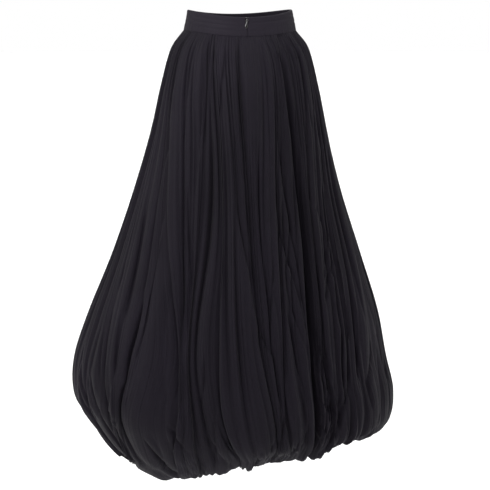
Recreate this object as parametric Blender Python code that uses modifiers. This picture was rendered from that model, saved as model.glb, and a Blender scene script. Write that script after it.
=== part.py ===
"""Long pleated balloon skirt, worn on a general figure that is not there.

A shaped waistband closes at the centre back with a concealed zip.  Fine pleats fall
from the waist seam, open into uneven folds, swell low down and are drawn in again at
a hem that turns under and is gathered on to a narrow band.

Metres, +Z up.  The origin is the centre of the waistband's top opening.  The centre
back and its zip face -Y, and +X is the wearer's right.  Angles run round the body from
the centre back towards +X: 0 centre back, 90 right side seam, 180 centre front,
-90 or 270 left side seam.
"""
import math
import random

import bmesh
import bpy
import numpy as np
from mathutils import Matrix, Vector

MM = 0.001

# Cloth
CLOTH_WALL = 2.0 * MM          # thickness of the pleated cloth, square to the body's form
BAND_WALL = 2.4 * MM           # waistband: two layers with interlining
HEM_BAND_WALL = 2.0 * MM
HEM_BAND_HEIGHT = 18.0 * MM
SEAM_GAP = 0.3 * MM

# Pleats
PLEAT_COUNT = 120
STEEPEST_PLEAT = 0.72          # depth over pitch
STEEPEST_GATHER = 0.40
GATHER_SIZES = (2, 3, 3, 4)    # pleats that run together into one gather
GATHER_SEED = 11
LEAST_GATHER = 0.45            # the shallowest gather, as a share of the ring's depth
PLEAT_SHIFT = 0.30             # how far a pleat strays from even spacing, degrees
ZIP_FLAT_HALF_WIDTH = 16.0 * MM
ZIP_FLAT_ENDS = (3.0, 3.8)     # ring numbers between which the cloth beside the zip starts to pleat
ZIP_FLATTENING = 0.85

# The form that the tops of the folds touch, ring by ring from the waist seam down,
# round the bottom and up inside to the gathered hem.  Heights and reaches in metres,
# depths of the pleats and gathers in millimetres.
RING_COLUMNS = ("name", "z_left", "z_right", "z_back", "z_front",
                "left", "right", "back", "front", "pleat", "gather")
RINGS = (
    ("seam", -.0418, -.0428, -.0531, -.0516, .1166, .1172, .0900, .0890, 1.5, 0.0),
    ("yoke", -.0780, -.0780, -.0880, -.0860, .1450, .1450, .1150, .1040, 3.5, 1.5),
    ("hip", -.1500, -.1500, -.1550, -.1550, .1675, .1655, .1450, .1250, 4.0, 2.5),
    ("seat", -.2500, -.2500, -.2500, -.2500, .1912, .1865, .1710, .1490, 4.0, 4.0),
    ("thigh", -.3700, -.3700, -.3700, -.3700, .2273, .2157, .1970, .1800, 4.0, 5.0),
    ("knee", -.5000, -.5000, -.5000, -.5000, .2727, .2572, .2270, .2150, 3.5, 6.0),
    ("calf", -.6200, -.6200, -.6200, -.6200, .3217, .2950, .2540, .2470, 3.0, 7.0),
    ("flare", -.7200, -.7200, -.7200, -.7200, .3545, .3135, .2720, .2670, 2.5, 7.0),
    ("bulge", -.8000, -.7960, -.8000, -.8000, .3555, .3322, .2740, .2710, 2.0, 8.0),
    ("under", -.8560, -.8580, -.8620, -.8620, .3240, .3285, .2620, .2590, 2.5, 9.0),
    ("tuck", -.9360, -.8920, -.9030, -.9120, .2675, .3010, .2310, .2300, 3.5, 10.0),
    ("fold", -.9850, -.8950, -.9320, -.9400, .2000, .2590, .1950, .1950, 3.5, 8.0),
    ("turn", -.9820, -.8850, -.9260, -.9340, .1700, .2360, .1670, .1670, 3.0, 4.0),
    ("hem", -.9520, -.8620, -.8990, -.9070, .1560, .2200, .1540, .1540, 2.0, 1.0),
)

# The largest folds.  Each runs down the cloth through six angles, in degrees, at the
# seam, hip, thigh, calf, bulge and tuck rings, and is so many millimetres deep at the
# hip, the calf and the tuck, and so many wide.
FOLD_COLUMNS = ("name", "seam", "hip", "thigh", "calf", "bulge", "tuck",
                "hip_depth", "calf_depth", "tuck_depth", "width")
FOLDS = (
    ("left_01", -86, -86, -86, -85, -84, -84, 2, 6, 9, 9),
    ("left_02", -81, -82, -81, -75, -76, -74, 3, 9, 11, 10),
    ("back_01", -77, -78, -74, -65, -59, -63, 2, 12, 13, 12),
    ("back_02", -73, -74, -66, -57, -55.8, -59.5, 3, 12, 6, 9),
    ("back_03", -69, -70, -57, -48.5, -52.5, -56, 2, 18, 12, 13),
    ("back_04", -65, -66, -50, -32, -29, -33, 5, 14, 13, 10),
    ("back_05", -54, -52, -40, -29.5, -26.5, -28, 6, 12, 5, 9),
    ("back_06", -40, -36, -30, -27, -24, -24, 6, 15, 15, 9),
    ("back_07", -36, -31, -24, -24, -20, -20, 3, 14, 8, 8),
    ("back_08", -32, -25, -17.8, -15, -13, -8, 7, 16, 16, 10),
    ("back_09", -8, -8, -4, -1.5, 4, 7, 6, 12, 8, 9),
    ("back_10", 6, 5, 1, 3, 6.2, 9.7, 4, 8, 3, 7),
    ("back_11", 16, 17, 12, 8.7, 8.5, 12.5, 7, 15, 12, 9),
    ("back_12", 22, 23, 16, 13, 16, 19, 3, 12, 8, 8),
    ("back_13", 31, 29, 28.5, 21.5, 20, 23, 9, 27, 17, 15),
    ("back_14", 50, 48, 36, 28, 29, 30, 6, 17, 12, 10),
    ("back_15", 57, 57, 43, 35, 33, 34, 4, 14, 8, 8),
    ("back_16", 64, 64, 51, 42, 39, 40, 4, 16, 13, 10),
    ("back_17", 70, 71, 59, 48, 46, 48, 3, 12, 9, 9),
    ("back_18", 76, 77, 70, 57, 54, 58, 2, 9, 11, 11),
    ("right_01", 81, 82, 79, 68, 65, 69, 3, 8, 12, 10),
    ("right_02", 86, 86, 85, 79, 78, 79, 2, 6, 9, 9),
    ("right_03", 94, 94, 96, 99, 98, 97, 2, 7, 10, 9),
    ("right_04", 99, 99, 103, 109, 110, 107, 3, 10, 11, 10),
    ("front_01", 104, 104, 110, 118, 121, 116, 3, 14, 12, 12),
    ("front_02", 112, 113, 121, 131, 128, 126, 4, 15, 9, 10),
    ("front_03", 121, 122, 130, 138, 142, 138, 5, 22, 14, 13),
    ("front_04", 131, 131, 137, 145, 147, 149, 6, 12, 8, 9),
    ("front_05", 142, 143, 149, 152, 154, 157, 7, 16, 14, 10),
    ("front_06", 155, 154, 158, 162, 160, 164, 4, 13, 7, 8),
    ("front_07", 166, 167, 169, 171, 174, 171, 6, 18, 13, 11),
    ("front_08", 181, 180, 180, 182, 181, 184, 4, 11, 6, 8),
    ("front_09", 193, 193, 192, 189, 190, 193, 7, 17, 14, 11),
    ("front_10", 206, 207, 203, 199, 202, 199, 4, 12, 8, 9),
    ("front_11", 218, 217, 213, 208, 207, 210, 8, 25, 16, 14),
    ("front_12", 229, 228, 221, 216, 213, 217, 5, 13, 7, 9),
    ("front_13", 238, 238, 230, 223, 226, 229, 4, 15, 12, 10),
    ("front_14", 247, 248, 240, 233, 236, 238, 4, 12, 8, 10),
    ("front_15", 256, 257, 250, 243, 241, 245, 3, 13, 12, 12),
    ("left_03", 261, 262, 258, 252, 251, 254, 3, 9, 12, 10),
    ("left_04", 266, 266, 265, 262, 263, 263, 2, 6, 9, 9),
)
SEAM_ANGLES = (-90, 90, 270)           # side seams, which hang straight down
FOLD_RING_STEP = 2                     # the angle columns are two rings apart

# Waistband: top and bottom edges of its outer face.
BAND = (
    ("top", .0000, .0000, -.0140, -.0100, .1087, .1087, .0850, .0840),
    ("bottom", -.0415, -.0425, -.0528, -.0513, .1160, .1168, .0895, .0885),
)
BAND_SEGMENTS = 120
HEM_SEGMENTS = 120

# Zip
ZIP_SLOT = 1.6 * MM                    # between the two ends of the waistband
TAPE_INNER_EDGE = 0.9 * MM
TAPE_WIDTH = 9.0 * MM
TAPE_THICKNESS = 0.8 * MM
TAPE_INSET_BAND = 0.35 * MM            # behind the waistband's inner face
TAPE_INSET_SKIRT = 6.2 * MM            # behind the tops of the pleats
TAPE_BAND_STEPS = (0.05, 0.5, 0.98)    # down the waistband, 0 its top edge and 1 its bottom
TAPE_RING_STEPS = (0.12, 0.5, 1.0, 1.5, 2.0, 2.4)
SLIDER_WIDTH = 7.0 * MM
SLIDER_DEPTH = 2.4 * MM
SLIDER_HEIGHT = 9.0 * MM
SLIDER_BEVEL = 0.7 * MM
SLIDER_BELOW_TOP = 4.8 * MM            # from the waistband's top edge to the pull's axis
BRIDGE_RADIUS = 0.45 * MM
BRIDGE_HALF_HEIGHT = 2.2 * MM
BRIDGE_REACH = 1.6 * MM                # outwards from the pull's axis
BRIDGE_BENDS = ((-0.12, 1.0), (0.6, 0.75), (1.0, 0.25))    # shares of its reach and half height
PULL_STAND_OFF = 1.15 * MM             # from the waistband's face to the pull's axis
PULL_THICKNESS = 1.1 * MM
PULL_LEAN = math.radians(9.0)          # the pull hangs a little to the wearer's left
# Half width of the pull's outline at heights above its axis, in millimetres.
PULL_OUTLINE = (
    (0.55, 1.50), (0.25, 1.95), (-1.5, 2.25), (-3.6, 2.00), (-5.2, 1.45), (-9.0, 1.80),
    (-13.0, 2.50), (-15.4, 2.45), (-17.0, 1.70), (-17.7, 0.70),
)
PULL_EYE_CENTRE = -2.2 * MM
PULL_EYE_HALF_HEIGHT = 1.55 * MM
PULL_EYE_HALF_WIDTH = 1.25 * MM
EYE_SIDES = 16

COLOURS = {
    "cloth": (0.020, 0.017, 0.023),
    "band": (0.022, 0.019, 0.025),
    "tape": (0.012, 0.011, 0.013),
    "slider": (0.030, 0.028, 0.032),
    "pull": (0.62, 0.61, 0.62),
}


def columns(rows, titles, *names):
    """The named columns of a table, as an array with a row for each of its rows."""
    return np.array([[row[titles.index(name)] for name in names] for row in rows], float)


FORM_COLUMNS = RING_COLUMNS[1:9]
RING_TABLE = columns(RINGS, RING_COLUMNS, *FORM_COLUMNS)
RING_FINENESS = columns(RINGS, RING_COLUMNS, "pleat", "gather") * MM
BAND_TABLE = columns(BAND, RING_COLUMNS, *FORM_COLUMNS)
LAST_RING = len(RINGS) - 1
FOLD_ANGLES = columns(FOLDS, FOLD_COLUMNS, "seam", "hip", "thigh", "calf", "bulge", "tuck")
FOLD_DEPTHS = columns(FOLDS, FOLD_COLUMNS, "hip_depth", "calf_depth", "tuck_depth") * MM
FOLD_WIDTHS = columns(FOLDS, FOLD_COLUMNS, "width")[:, 0] * MM
FOLD_DEPTH_RINGS = (0, 2, 6, 10, LAST_RING)    # seam, hip, calf, tuck, hem
HEM_SHARE = 0.1                                # of a large fold's depth at the tuck
SIDE_REACH = FORM_COLUMNS.index("right")       # with it, x gives the angle beside the centre back
NEAR = 0.02                                    # step to a neighbouring point, radians or rings


def clear_scene():
    for old in list(bpy.data.objects):
        bpy.data.objects.remove(old, do_unlink=True)


def new_collection(name):
    collection = bpy.data.collections.new(name)
    bpy.context.scene.collection.children.link(collection)
    return collection


def material(name, roughness, metallic=0.0):
    made = bpy.data.materials.new(name)
    made.use_nodes = True
    shader = made.node_tree.nodes["Principled BSDF"]
    shader.inputs["Base Color"].default_value = (*COLOURS[name], 1.0)
    shader.inputs["Roughness"].default_value = roughness
    shader.inputs["Metallic"].default_value = metallic
    made.diffuse_color = (*COLOURS[name], 1.0)
    return made


# ---------------------------------------------------------------- the body's form

def smooth_row(table, place):
    """Value at a place between the table's rows, on a smooth curve through them all."""
    last = len(table) - 1
    row = min(max(int(math.floor(place)), 0), last - 1)
    t = place - row
    start, end = table[row], table[row + 1]
    before = table[row - 1] if row > 0 else 2 * start - end
    after = table[row + 2] if row + 2 <= last else 2 * end - start
    return 0.5 * (2 * start + (end - before) * t
                  + (2 * before - 5 * start + 4 * end - after) * t ** 2
                  + (3 * start - before - 3 * end + after) * t ** 3)


def ring_points(angles, row):
    """Points round one ring, whose four quarters have their own reaches and heights."""
    z_left, z_right, z_back, z_front, left, right, back, front = row
    sine, cosine = np.sin(angles), np.cos(angles)
    side = np.where(sine >= 0, right, left)
    z_side = np.where(sine >= 0, z_right, z_left)
    end = np.where(cosine >= 0, back, front)
    z_end = np.where(cosine >= 0, z_back, z_front)
    return np.stack([side * sine, -end * cosine, z_side * sine ** 2 + z_end * cosine ** 2], -1)


def form_points(angles, ring):
    return ring_points(angles, smooth_row(RING_TABLE, ring))


def form_normals(angles, ring):
    """Outward normals of the form; level at both cut edges, so those edges stay flat."""
    below, above = min(ring + NEAR, LAST_RING), max(ring - NEAR, 0)
    down = form_points(angles, below) - form_points(angles, above)
    along = form_points(angles + NEAR, ring) - form_points(angles - NEAR, ring)
    normals = np.cross(down, along)
    if ring in (0, LAST_RING):
        normals[:, 2] = 0.0
    return normals / np.linalg.norm(normals, axis=1, keepdims=True)


# ---------------------------------------------------------------- pleats and folds

def pleat_borders(generator, first, count):
    """Gathers between two seams, as rows of (first pleat, pleats in it, depth at its start)."""
    rows = []
    left = count
    while left:
        size = generator.choice(GATHER_SIZES)
        size = left if left - size < min(GATHER_SIZES) else size
        rows.append((first + count - left, size, generator.uniform(LEAST_GATHER, 1.0)))
        left -= size
    return rows


def all_gathers():
    """The gathers of both back panels and the front; no gather crosses a seam."""
    generator = random.Random(GATHER_SEED)
    quarter = PLEAT_COUNT // 4
    rows = (pleat_borders(generator, 0, quarter) + pleat_borders(generator, quarter, quarter)
            + pleat_borders(generator, 2 * quarter, 2 * quarter))
    return np.array(rows)


GATHERS = all_gathers()


def pleat_lines(first, last):
    """Waist angles of the pleats' valleys (even) and ridges (odd) from one seam to the next."""
    step = 180.0 / PLEAT_COUNT
    count = round((last - first) / step)
    generator = random.Random(GATHER_SEED + first)
    lines = [first + step * number for number in range(count + 1)]
    for number in range(1, count):
        lines[number] += generator.uniform(-PLEAT_SHIFT, PLEAT_SHIFT)
    return np.array(lines)


def flow(waist_angles, ring):
    """Where the cloth's grain lines, known by their waist angles, have come to at a ring."""
    place = min(ring / FOLD_RING_STEP, FOLD_ANGLES.shape[1] - 1)
    here = smooth_row(FOLD_ANGLES.T, place)
    knots = np.concatenate([FOLD_ANGLES[:, 0], SEAM_ANGLES])
    values = np.concatenate([here, SEAM_ANGLES])
    order = np.argsort(knots)
    return np.radians(np.interp(waist_angles, knots[order], values[order]))


def large_fold_depth(angles, arc_per_radian, ring):
    """Depth of the deepest large fold at each point."""
    place = min(ring / FOLD_RING_STEP, FOLD_ANGLES.shape[1] - 1)
    centres = np.radians(smooth_row(FOLD_ANGLES.T, place))
    hip, calf, tuck = FOLD_DEPTHS.T
    profile = np.stack([0 * hip, hip, calf, tuck, HEM_SHARE * tuck])
    depths = np.array([np.interp(ring, FOLD_DEPTH_RINGS, column) for column in profile.T])
    away = (angles[:, None] - centres[None, :]) * arc_per_radian[:, None]
    return (depths * np.exp(-(away / FOLD_WIDTHS) ** 2)).max(axis=1)


def zip_easing(across, ring):
    """Share of the folds' depth that is left beside the zip."""
    start, end = ZIP_FLAT_ENDS
    fade = min(max((end - ring) / (end - start), 0.0), 1.0)
    return 1.0 - ZIP_FLATTENING * fade * np.exp(-(across / ZIP_FLAT_HALF_WIDTH) ** 4)


def fold_depth(waist_angles, angles, ring):
    """How far the cloth lies inside the form that the tops of its folds touch."""
    arc = np.linalg.norm(form_points(angles + NEAR, ring) - form_points(angles, ring), axis=1) / NEAR
    pleat_turn = 2 * math.pi / PLEAT_COUNT
    squeeze = (flow(waist_angles + 1, ring) - flow(waist_angles - 1, ring)) / math.radians(2)
    pitch = arc * pleat_turn * squeeze
    pleat_limit, gather_limit = smooth_row(RING_FINENESS, ring)

    number = (waist_angles - SEAM_ANGLES[0]) / 360 * PLEAT_COUNT
    fine = np.minimum(pleat_limit, STEEPEST_PLEAT * pitch)
    fine = fine * np.abs(1 - 2 * (number - np.floor(number)))

    row = np.clip(np.searchsorted(GATHERS[:, 0], number + 1e-6) - 1, 0, len(GATHERS) - 1)
    start, size, depth = GATHERS[row].T
    following = GATHERS[(row + 1) % len(GATHERS), 2]
    across = np.clip((number - start) / size, 0, 1)
    gather = np.minimum(gather_limit, STEEPEST_GATHER * size * pitch)
    gather = gather * (depth + (following - depth) * across) * (1 - np.sin(math.pi * across))

    points = form_points(angles, ring)
    behind = points[:, 1] < 0
    easing = np.where(behind, zip_easing(points[:, 0], ring), 1.0)
    return (fine + gather + large_fold_depth(angles, arc, ring)) * easing


def pleated_rows(first, last):
    """Outer and inner points of a panel between two seams, ring by ring."""
    lines = pleat_lines(first, last)
    outer, inner = [], []
    for ring in range(LAST_RING + 1):
        angles = flow(lines, ring)
        normals = form_normals(angles, ring)
        depth = fold_depth(lines, angles, ring)[:, None]
        points = form_points(angles, ring) - normals * depth
        for edge, neighbour in ((0, 1), (-1, -2)):
            inwards = points[neighbour] - points[edge]
            inwards -= normals[edge] * inwards.dot(normals[edge])
            points[edge] += inwards / np.linalg.norm(inwards) * SEAM_GAP / 2
        outer.append(points)
        inner.append(points - normals * CLOTH_WALL)
    return np.array(outer), np.array(inner)


# ---------------------------------------------------------------- solids

def finish_object(name, mesh, surface, collection):
    mesh.materials.append(surface)
    made = bpy.data.objects.new(name, mesh)
    collection.objects.link(made)
    return made


def wall_between(name, outer, inner, surface, collection, closed=False):
    """One closed wall through rows of outer and inner points, top row first."""
    rows, columns = outer.shape[:2]
    mesh_builder = bmesh.new()
    skins = [[[mesh_builder.verts.new(point) for point in row] for row in skin] for skin in (outer, inner)]

    def patch(a, b, c, d):
        """The same diagonal on both skins keeps the wall's thickness even."""
        mesh_builder.faces.new((a, b, c))
        mesh_builder.faces.new((a, c, d))

    spans = [(column, (column + 1) % columns) for column in range(columns if closed else columns - 1)]
    out, back = skins
    for row in range(rows - 1):
        for near, far in spans:
            patch(out[row][near], out[row + 1][near], out[row + 1][far], out[row][far])
            patch(back[row][near], back[row][far], back[row + 1][far], back[row + 1][near])
    for near, far in spans:
        patch(out[0][near], out[0][far], back[0][far], back[0][near])
        patch(out[-1][near], back[-1][near], back[-1][far], out[-1][far])
    if not closed:
        for row in range(rows - 1):
            patch(out[row][0], back[row][0], back[row + 1][0], out[row + 1][0])
            patch(out[row][-1], out[row + 1][-1], back[row + 1][-1], back[row][-1])
    bmesh.ops.recalc_face_normals(mesh_builder, faces=mesh_builder.faces)
    mesh = bpy.data.meshes.new(name)
    mesh_builder.to_mesh(mesh)
    mesh_builder.free()
    return finish_object(name, mesh, surface, collection)


def make_panel(name, first, last, surface, collection):
    outer, inner = pleated_rows(first, last)
    return wall_between(name, outer, inner, surface, collection)


def level_normals(angles, row):
    along = ring_points(angles + NEAR, row) - ring_points(angles - NEAR, row)
    normals = np.stack([along[:, 1], -along[:, 0], np.zeros(len(angles))], -1)
    return normals / np.linalg.norm(normals, axis=1, keepdims=True)


def make_waistband(surface, collection):
    """One shaped strip, from one side of the zip's slot round to the other."""
    outer, inner = [], []
    for row in BAND_TABLE:
        edge = math.asin(ZIP_SLOT / 2 / row[SIDE_REACH])
        angles = np.linspace(edge, 2 * math.pi - edge, BAND_SEGMENTS + 1)
        points = ring_points(angles, row)
        normals = level_normals(angles, row)
        normals[[0, -1]] = (0, -1, 0)
        outer.append(points)
        inner.append(points - normals * BAND_WALL)
    return wall_between("waistband", np.array(outer), np.array(inner), surface, collection)


def make_hem_band(surface, collection):
    """The narrow band inside, to which the turned-under hem is gathered."""
    angles = np.linspace(0, 2 * math.pi, HEM_SEGMENTS, endpoint=False)
    row = RING_TABLE[LAST_RING]
    bottom = ring_points(angles, row) + (0, 0, SEAM_GAP)
    top = bottom + (0, 0, HEM_BAND_HEIGHT)
    outwards = level_normals(angles, row) * HEM_BAND_WALL
    outer = np.array([top + outwards, bottom + outwards])
    inner = np.array([top, bottom])
    return wall_between("hem_band", outer, inner, surface, collection, closed=True)


def band_point(x, step):
    """A point of the waistband's outer face near the centre back; step 0 is its top edge."""
    row = BAND_TABLE[0] + (BAND_TABLE[1] - BAND_TABLE[0]) * step
    return ring_points(np.array([math.asin(x / row[SIDE_REACH])]), row)[0]


def make_zip_tape(side, surface, collection):
    """One half of the zip's tape, following the inside of the waistband and the seam."""
    name = "zip_tape_right" if side > 0 else "zip_tape_left"
    across = [side * (TAPE_INNER_EDGE + share * TAPE_WIDTH) for share in (0, 0.5, 1)]
    rows = []
    for step in TAPE_BAND_STEPS:
        inset = BAND_WALL + TAPE_INSET_BAND
        rows.append([band_point(x, step) + (0, inset, 0) for x in across])
    for ring in TAPE_RING_STEPS:
        reach = smooth_row(RING_TABLE, ring)[SIDE_REACH]
        angles = np.array([math.asin(x / reach) for x in across])
        rows.append(form_points(angles, ring) + (0, TAPE_INSET_SKIRT, 0))
    outer = np.array(rows)
    return wall_between(name, outer, outer + (0, TAPE_THICKNESS, 0), surface, collection)


def pull_frame():
    """Axes at the pull's axis, tilted with the waistband's face; local -Y points outwards."""
    top, bottom = Vector(band_point(0, 0)), Vector(band_point(0, 1))
    down = (bottom - top).normalized()
    tilt = math.atan2(-down.y, -down.z)
    turn = Matrix.Rotation(-tilt, 4, "X")
    centre = top + down * SLIDER_BELOW_TOP + turn @ Vector((0, -PULL_STAND_OFF, 0))
    return Matrix.Translation(centre) @ turn


def curve_object(name, points, closed, collection):
    data = bpy.data.curves.new(name, "CURVE")
    data.dimensions = "3D"
    spline = data.splines.new("POLY")
    spline.points.add(len(points) - 1)
    for target, point in zip(spline.points, points):
        target.co = (*point, 1.0)
    spline.use_cyclic_u = closed
    made = bpy.data.objects.new(name, data)
    collection.objects.link(made)
    return made


def to_mesh_object(source, collection):
    """The evaluated shape as a closed mesh object in the source's place."""
    graph = bpy.context.evaluated_depsgraph_get()
    mesh = bpy.data.meshes.new_from_object(source.evaluated_get(graph))
    builder = bmesh.new()
    builder.from_mesh(mesh)
    bmesh.ops.remove_doubles(builder, verts=builder.verts, dist=1e-6)
    bmesh.ops.recalc_face_normals(builder, faces=builder.faces)
    builder.to_mesh(mesh)
    builder.free()
    made = bpy.data.objects.new(source.name + "_mesh", mesh)
    made.matrix_world = source.matrix_world
    collection.objects.link(made)
    bpy.data.objects.remove(source, do_unlink=True)
    return made


def make_slider(frame, surface, collection, cutters):
    """Slider body behind the waistband, with its bridge reaching out through the slot."""
    front = PULL_STAND_OFF + BAND_WALL + TAPE_INSET_BAND + TAPE_THICKNESS + SEAM_GAP
    side = [(front + SLIDER_DEPTH / 2, BRIDGE_HALF_HEIGHT)]
    side += [(-out * BRIDGE_REACH, up * BRIDGE_HALF_HEIGHT) for out, up in BRIDGE_BENDS]
    path = [(0, y, z) for y, z in side] + [(0, y, -z) for y, z in reversed(side)]
    bridge = curve_object("bridge", path, False, cutters)
    bridge.data.bevel_depth = BRIDGE_RADIUS
    bridge.data.bevel_resolution = 2
    bridge.data.use_fill_caps = True
    bridge.matrix_world = frame
    bpy.context.view_layer.update()
    bridge = to_mesh_object(bridge, cutters)
    bridge.hide_render = True
    bridge.display_type = "WIRE"

    mesh = bpy.data.meshes.new("zip_slider")
    builder = bmesh.new()
    bmesh.ops.create_cube(builder, size=1.0)
    bmesh.ops.scale(builder, vec=(SLIDER_WIDTH, SLIDER_DEPTH, SLIDER_HEIGHT), verts=builder.verts)
    bmesh.ops.translate(builder, vec=(0, front + SLIDER_DEPTH / 2, 0), verts=builder.verts)
    builder.to_mesh(mesh)
    builder.free()
    slider = finish_object("zip_slider", mesh, surface, collection)
    slider.matrix_world = frame
    bevel = slider.modifiers.new("rounded edges", "BEVEL")
    bevel.width = SLIDER_BEVEL
    bevel.segments = 2
    join = slider.modifiers.new("bridge", "BOOLEAN")
    join.operation = "UNION"
    join.solver = "EXACT"
    join.object = bridge
    return slider


def make_pull(frame, surface, collection):
    """Flat drop-shaped pull; its eye hangs on the bridge, and its origin is on the axis."""
    outline = [(half * MM, height * MM) for height, half in PULL_OUTLINE]
    outline += [(-x, z) for x, z in reversed(outline)]
    eye = []
    for number in range(EYE_SIDES):
        turn = 2 * math.pi * number / EYE_SIDES
        eye.append((PULL_EYE_HALF_WIDTH * math.cos(turn),
                    PULL_EYE_CENTRE + PULL_EYE_HALF_HEIGHT * math.sin(turn)))
    data = bpy.data.curves.new("pull_outline", "CURVE")
    data.dimensions = "2D"
    data.fill_mode = "BOTH"
    data.extrude = PULL_THICKNESS / 2
    for loop in (outline, eye):
        spline = data.splines.new("POLY")
        spline.points.add(len(loop) - 1)
        for target, (x, y) in zip(spline.points, loop):
            target.co = (x, y, 0.0, 1.0)
        spline.use_cyclic_u = True
    flat = bpy.data.objects.new("pull_outline", data)
    collection.objects.link(flat)
    upright = Matrix.Rotation(math.radians(90), 4, "X")
    flat.matrix_world = frame @ Matrix.Rotation(PULL_LEAN, 4, "Y") @ upright
    bpy.context.view_layer.update()
    pull = to_mesh_object(flat, collection)
    pull.name = "zip_pull"
    pull.data.materials.clear()
    pull.data.materials.append(surface)
    return pull


def main():
    clear_scene()
    skirt = new_collection("balloon_skirt")
    cutters = new_collection("cutters")
    cloth = material("cloth", 0.85)
    band = material("band", 0.8)
    tape = material("tape", 0.9)

    left_seam, right_seam, front_end = SEAM_ANGLES
    make_panel("skirt_back_left", left_seam, 0, cloth, skirt)
    make_panel("skirt_back_right", 0, right_seam, cloth, skirt)
    make_panel("skirt_front", right_seam, front_end, cloth, skirt)
    make_waistband(band, skirt)
    make_hem_band(band, skirt)
    for side in (-1, 1):
        make_zip_tape(side, tape, skirt)
    frame = pull_frame()
    make_slider(frame, material("slider", 0.4, 0.6), skirt, cutters)
    make_pull(frame, material("pull", 0.3, 0.9), skirt)


main()
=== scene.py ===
"""Looks of the long black pleated balloon skirt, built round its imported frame.

Metres, +Z up; the centre back faces -Y.  Angles run round the body from the centre
back towards +X, and places down the cloth are counted in rings, 0 the waist seam and
13 the gathered hem.  Depths and widths in the tables are in millimetres.
"""
import math
import random

import bmesh
import bpy
import numpy as np
from mathutils import Matrix, Vector


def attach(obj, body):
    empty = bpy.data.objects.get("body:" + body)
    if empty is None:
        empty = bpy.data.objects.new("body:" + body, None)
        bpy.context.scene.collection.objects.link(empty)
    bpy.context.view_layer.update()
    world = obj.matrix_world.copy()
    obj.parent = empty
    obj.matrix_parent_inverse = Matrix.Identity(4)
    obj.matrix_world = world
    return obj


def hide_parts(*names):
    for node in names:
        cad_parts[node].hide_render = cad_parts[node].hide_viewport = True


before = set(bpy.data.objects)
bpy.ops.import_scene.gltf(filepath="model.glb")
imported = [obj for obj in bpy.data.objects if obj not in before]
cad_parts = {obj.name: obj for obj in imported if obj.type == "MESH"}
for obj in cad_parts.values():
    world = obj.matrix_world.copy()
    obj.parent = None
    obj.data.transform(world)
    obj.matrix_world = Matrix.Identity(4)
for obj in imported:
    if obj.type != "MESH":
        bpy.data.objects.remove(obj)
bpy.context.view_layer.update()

MM = 0.001
SHELL = 0.6 * MM  # thickness of the cloth shells
TINY = 1e-6
NEAR = 0.02  # step for slopes, in rings and in radians

# ---- pleats and gathers
PLEAT_COUNT = 120
PLEAT_SHIFT = 0.30  # degrees that a pleat's line may stray
PLEAT_RINGS = (0, 0.5, 1, 2, 4, 6, 8, 9, 10, 11, 12, 13)
PLEAT_DEPTHS = (1.6, 3.2, 5.2, 7.4, 9.2, 9.0, 7.2, 6.6, 6.4, 6.0, 3.5, 2.0)
STEEPEST_PLEAT = 1.0  # depth over pitch
PLEAT_ROUNDING = 0.8  # under 1 is a blunter crest
VALLEY_MEAN, VALLEY_CHANGE = 0.72, 0.40
GATHER_SIZES = (2, 3, 3, 4)  # pleats that one gather draws together
GATHER_SEED = 11
LEAST_GATHER = 0.45  # depth, over the deepest one's
STEEPEST_GATHER = 0.40  # depth over width
GATHER_MEAN, GATHER_CHANGE, GATHER_PACE = 0.75, 0.35, 0.9
GRAIN_DRIFT = 0.55  # degrees that the pleats wander on their way down
GRAIN_SEED = 5
SWELL_RINGS = (0, 2, 7, 11, 13)
SWELL_DEPTHS = (0, 1.0, 3.0, 2.0, 0)
SWELL_SEED = 9
WAVE_COUNT = 7  # sine waves in one slow wave, and what they add up to
WAVE_SUM = 4
WAVES_ACROSS, WAVES_DOWN = (0.15, 1.1), (0.3, 2.2)  # radians a pleat and a ring
ZIP_FLAT_HALF_WIDTH = 16.0 * MM  # beside the zip the folds lie flatter
ZIP_FLAT_ENDS = (3.0, 3.8)  # rings between which that fades out
ZIP_FLATTENING = 0.85

# ---- form and large folds
# The form that the tops of the folds touch, as the frame's solids have it: heights and
# reaches of a ring's four quarters, and the most that a gather lies in.
RING_COLUMNS = ("name", "z_left", "z_right", "z_back", "z_front",
                "left", "right", "back", "front", "gather")
RINGS = (
    ("seam", -.0418, -.0428, -.0531, -.0516, .1166, .1172, .09, .089, 0),
    ("yoke", -.078, -.078, -.088, -.086, .145, .145, .115, .104, 1.5),
    ("hip", -.15, -.15, -.155, -.155, .1675, .1655, .145, .125, 2.5),
    ("seat", -.25, -.25, -.25, -.25, .1912, .1865, .171, .149, 4),
    ("thigh", -.37, -.37, -.37, -.37, .2273, .2157, .197, .18, 5),
    ("knee", -.5, -.5, -.5, -.5, .2727, .2572, .227, .215, 6),
    ("calf", -.62, -.62, -.62, -.62, .3217, .295, .254, .247, 7),
    ("flare", -.72, -.72, -.72, -.72, .3545, .3135, .272, .267, 7),
    ("bulge", -.8, -.796, -.8, -.8, .3555, .3322, .274, .271, 8),
    ("under", -.856, -.858, -.862, -.862, .324, .3285, .262, .259, 9),
    ("tuck", -.936, -.892, -.903, -.912, .2675, .301, .231, .23, 10),
    ("fold", -.985, -.895, -.932, -.94, .2, .259, .195, .195, 8),
    ("turn", -.982, -.885, -.926, -.934, .17, .236, .167, .167, 4),
    ("hem", -.952, -.862, -.899, -.907, .156, .22, .154, .154, 1),
)

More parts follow.
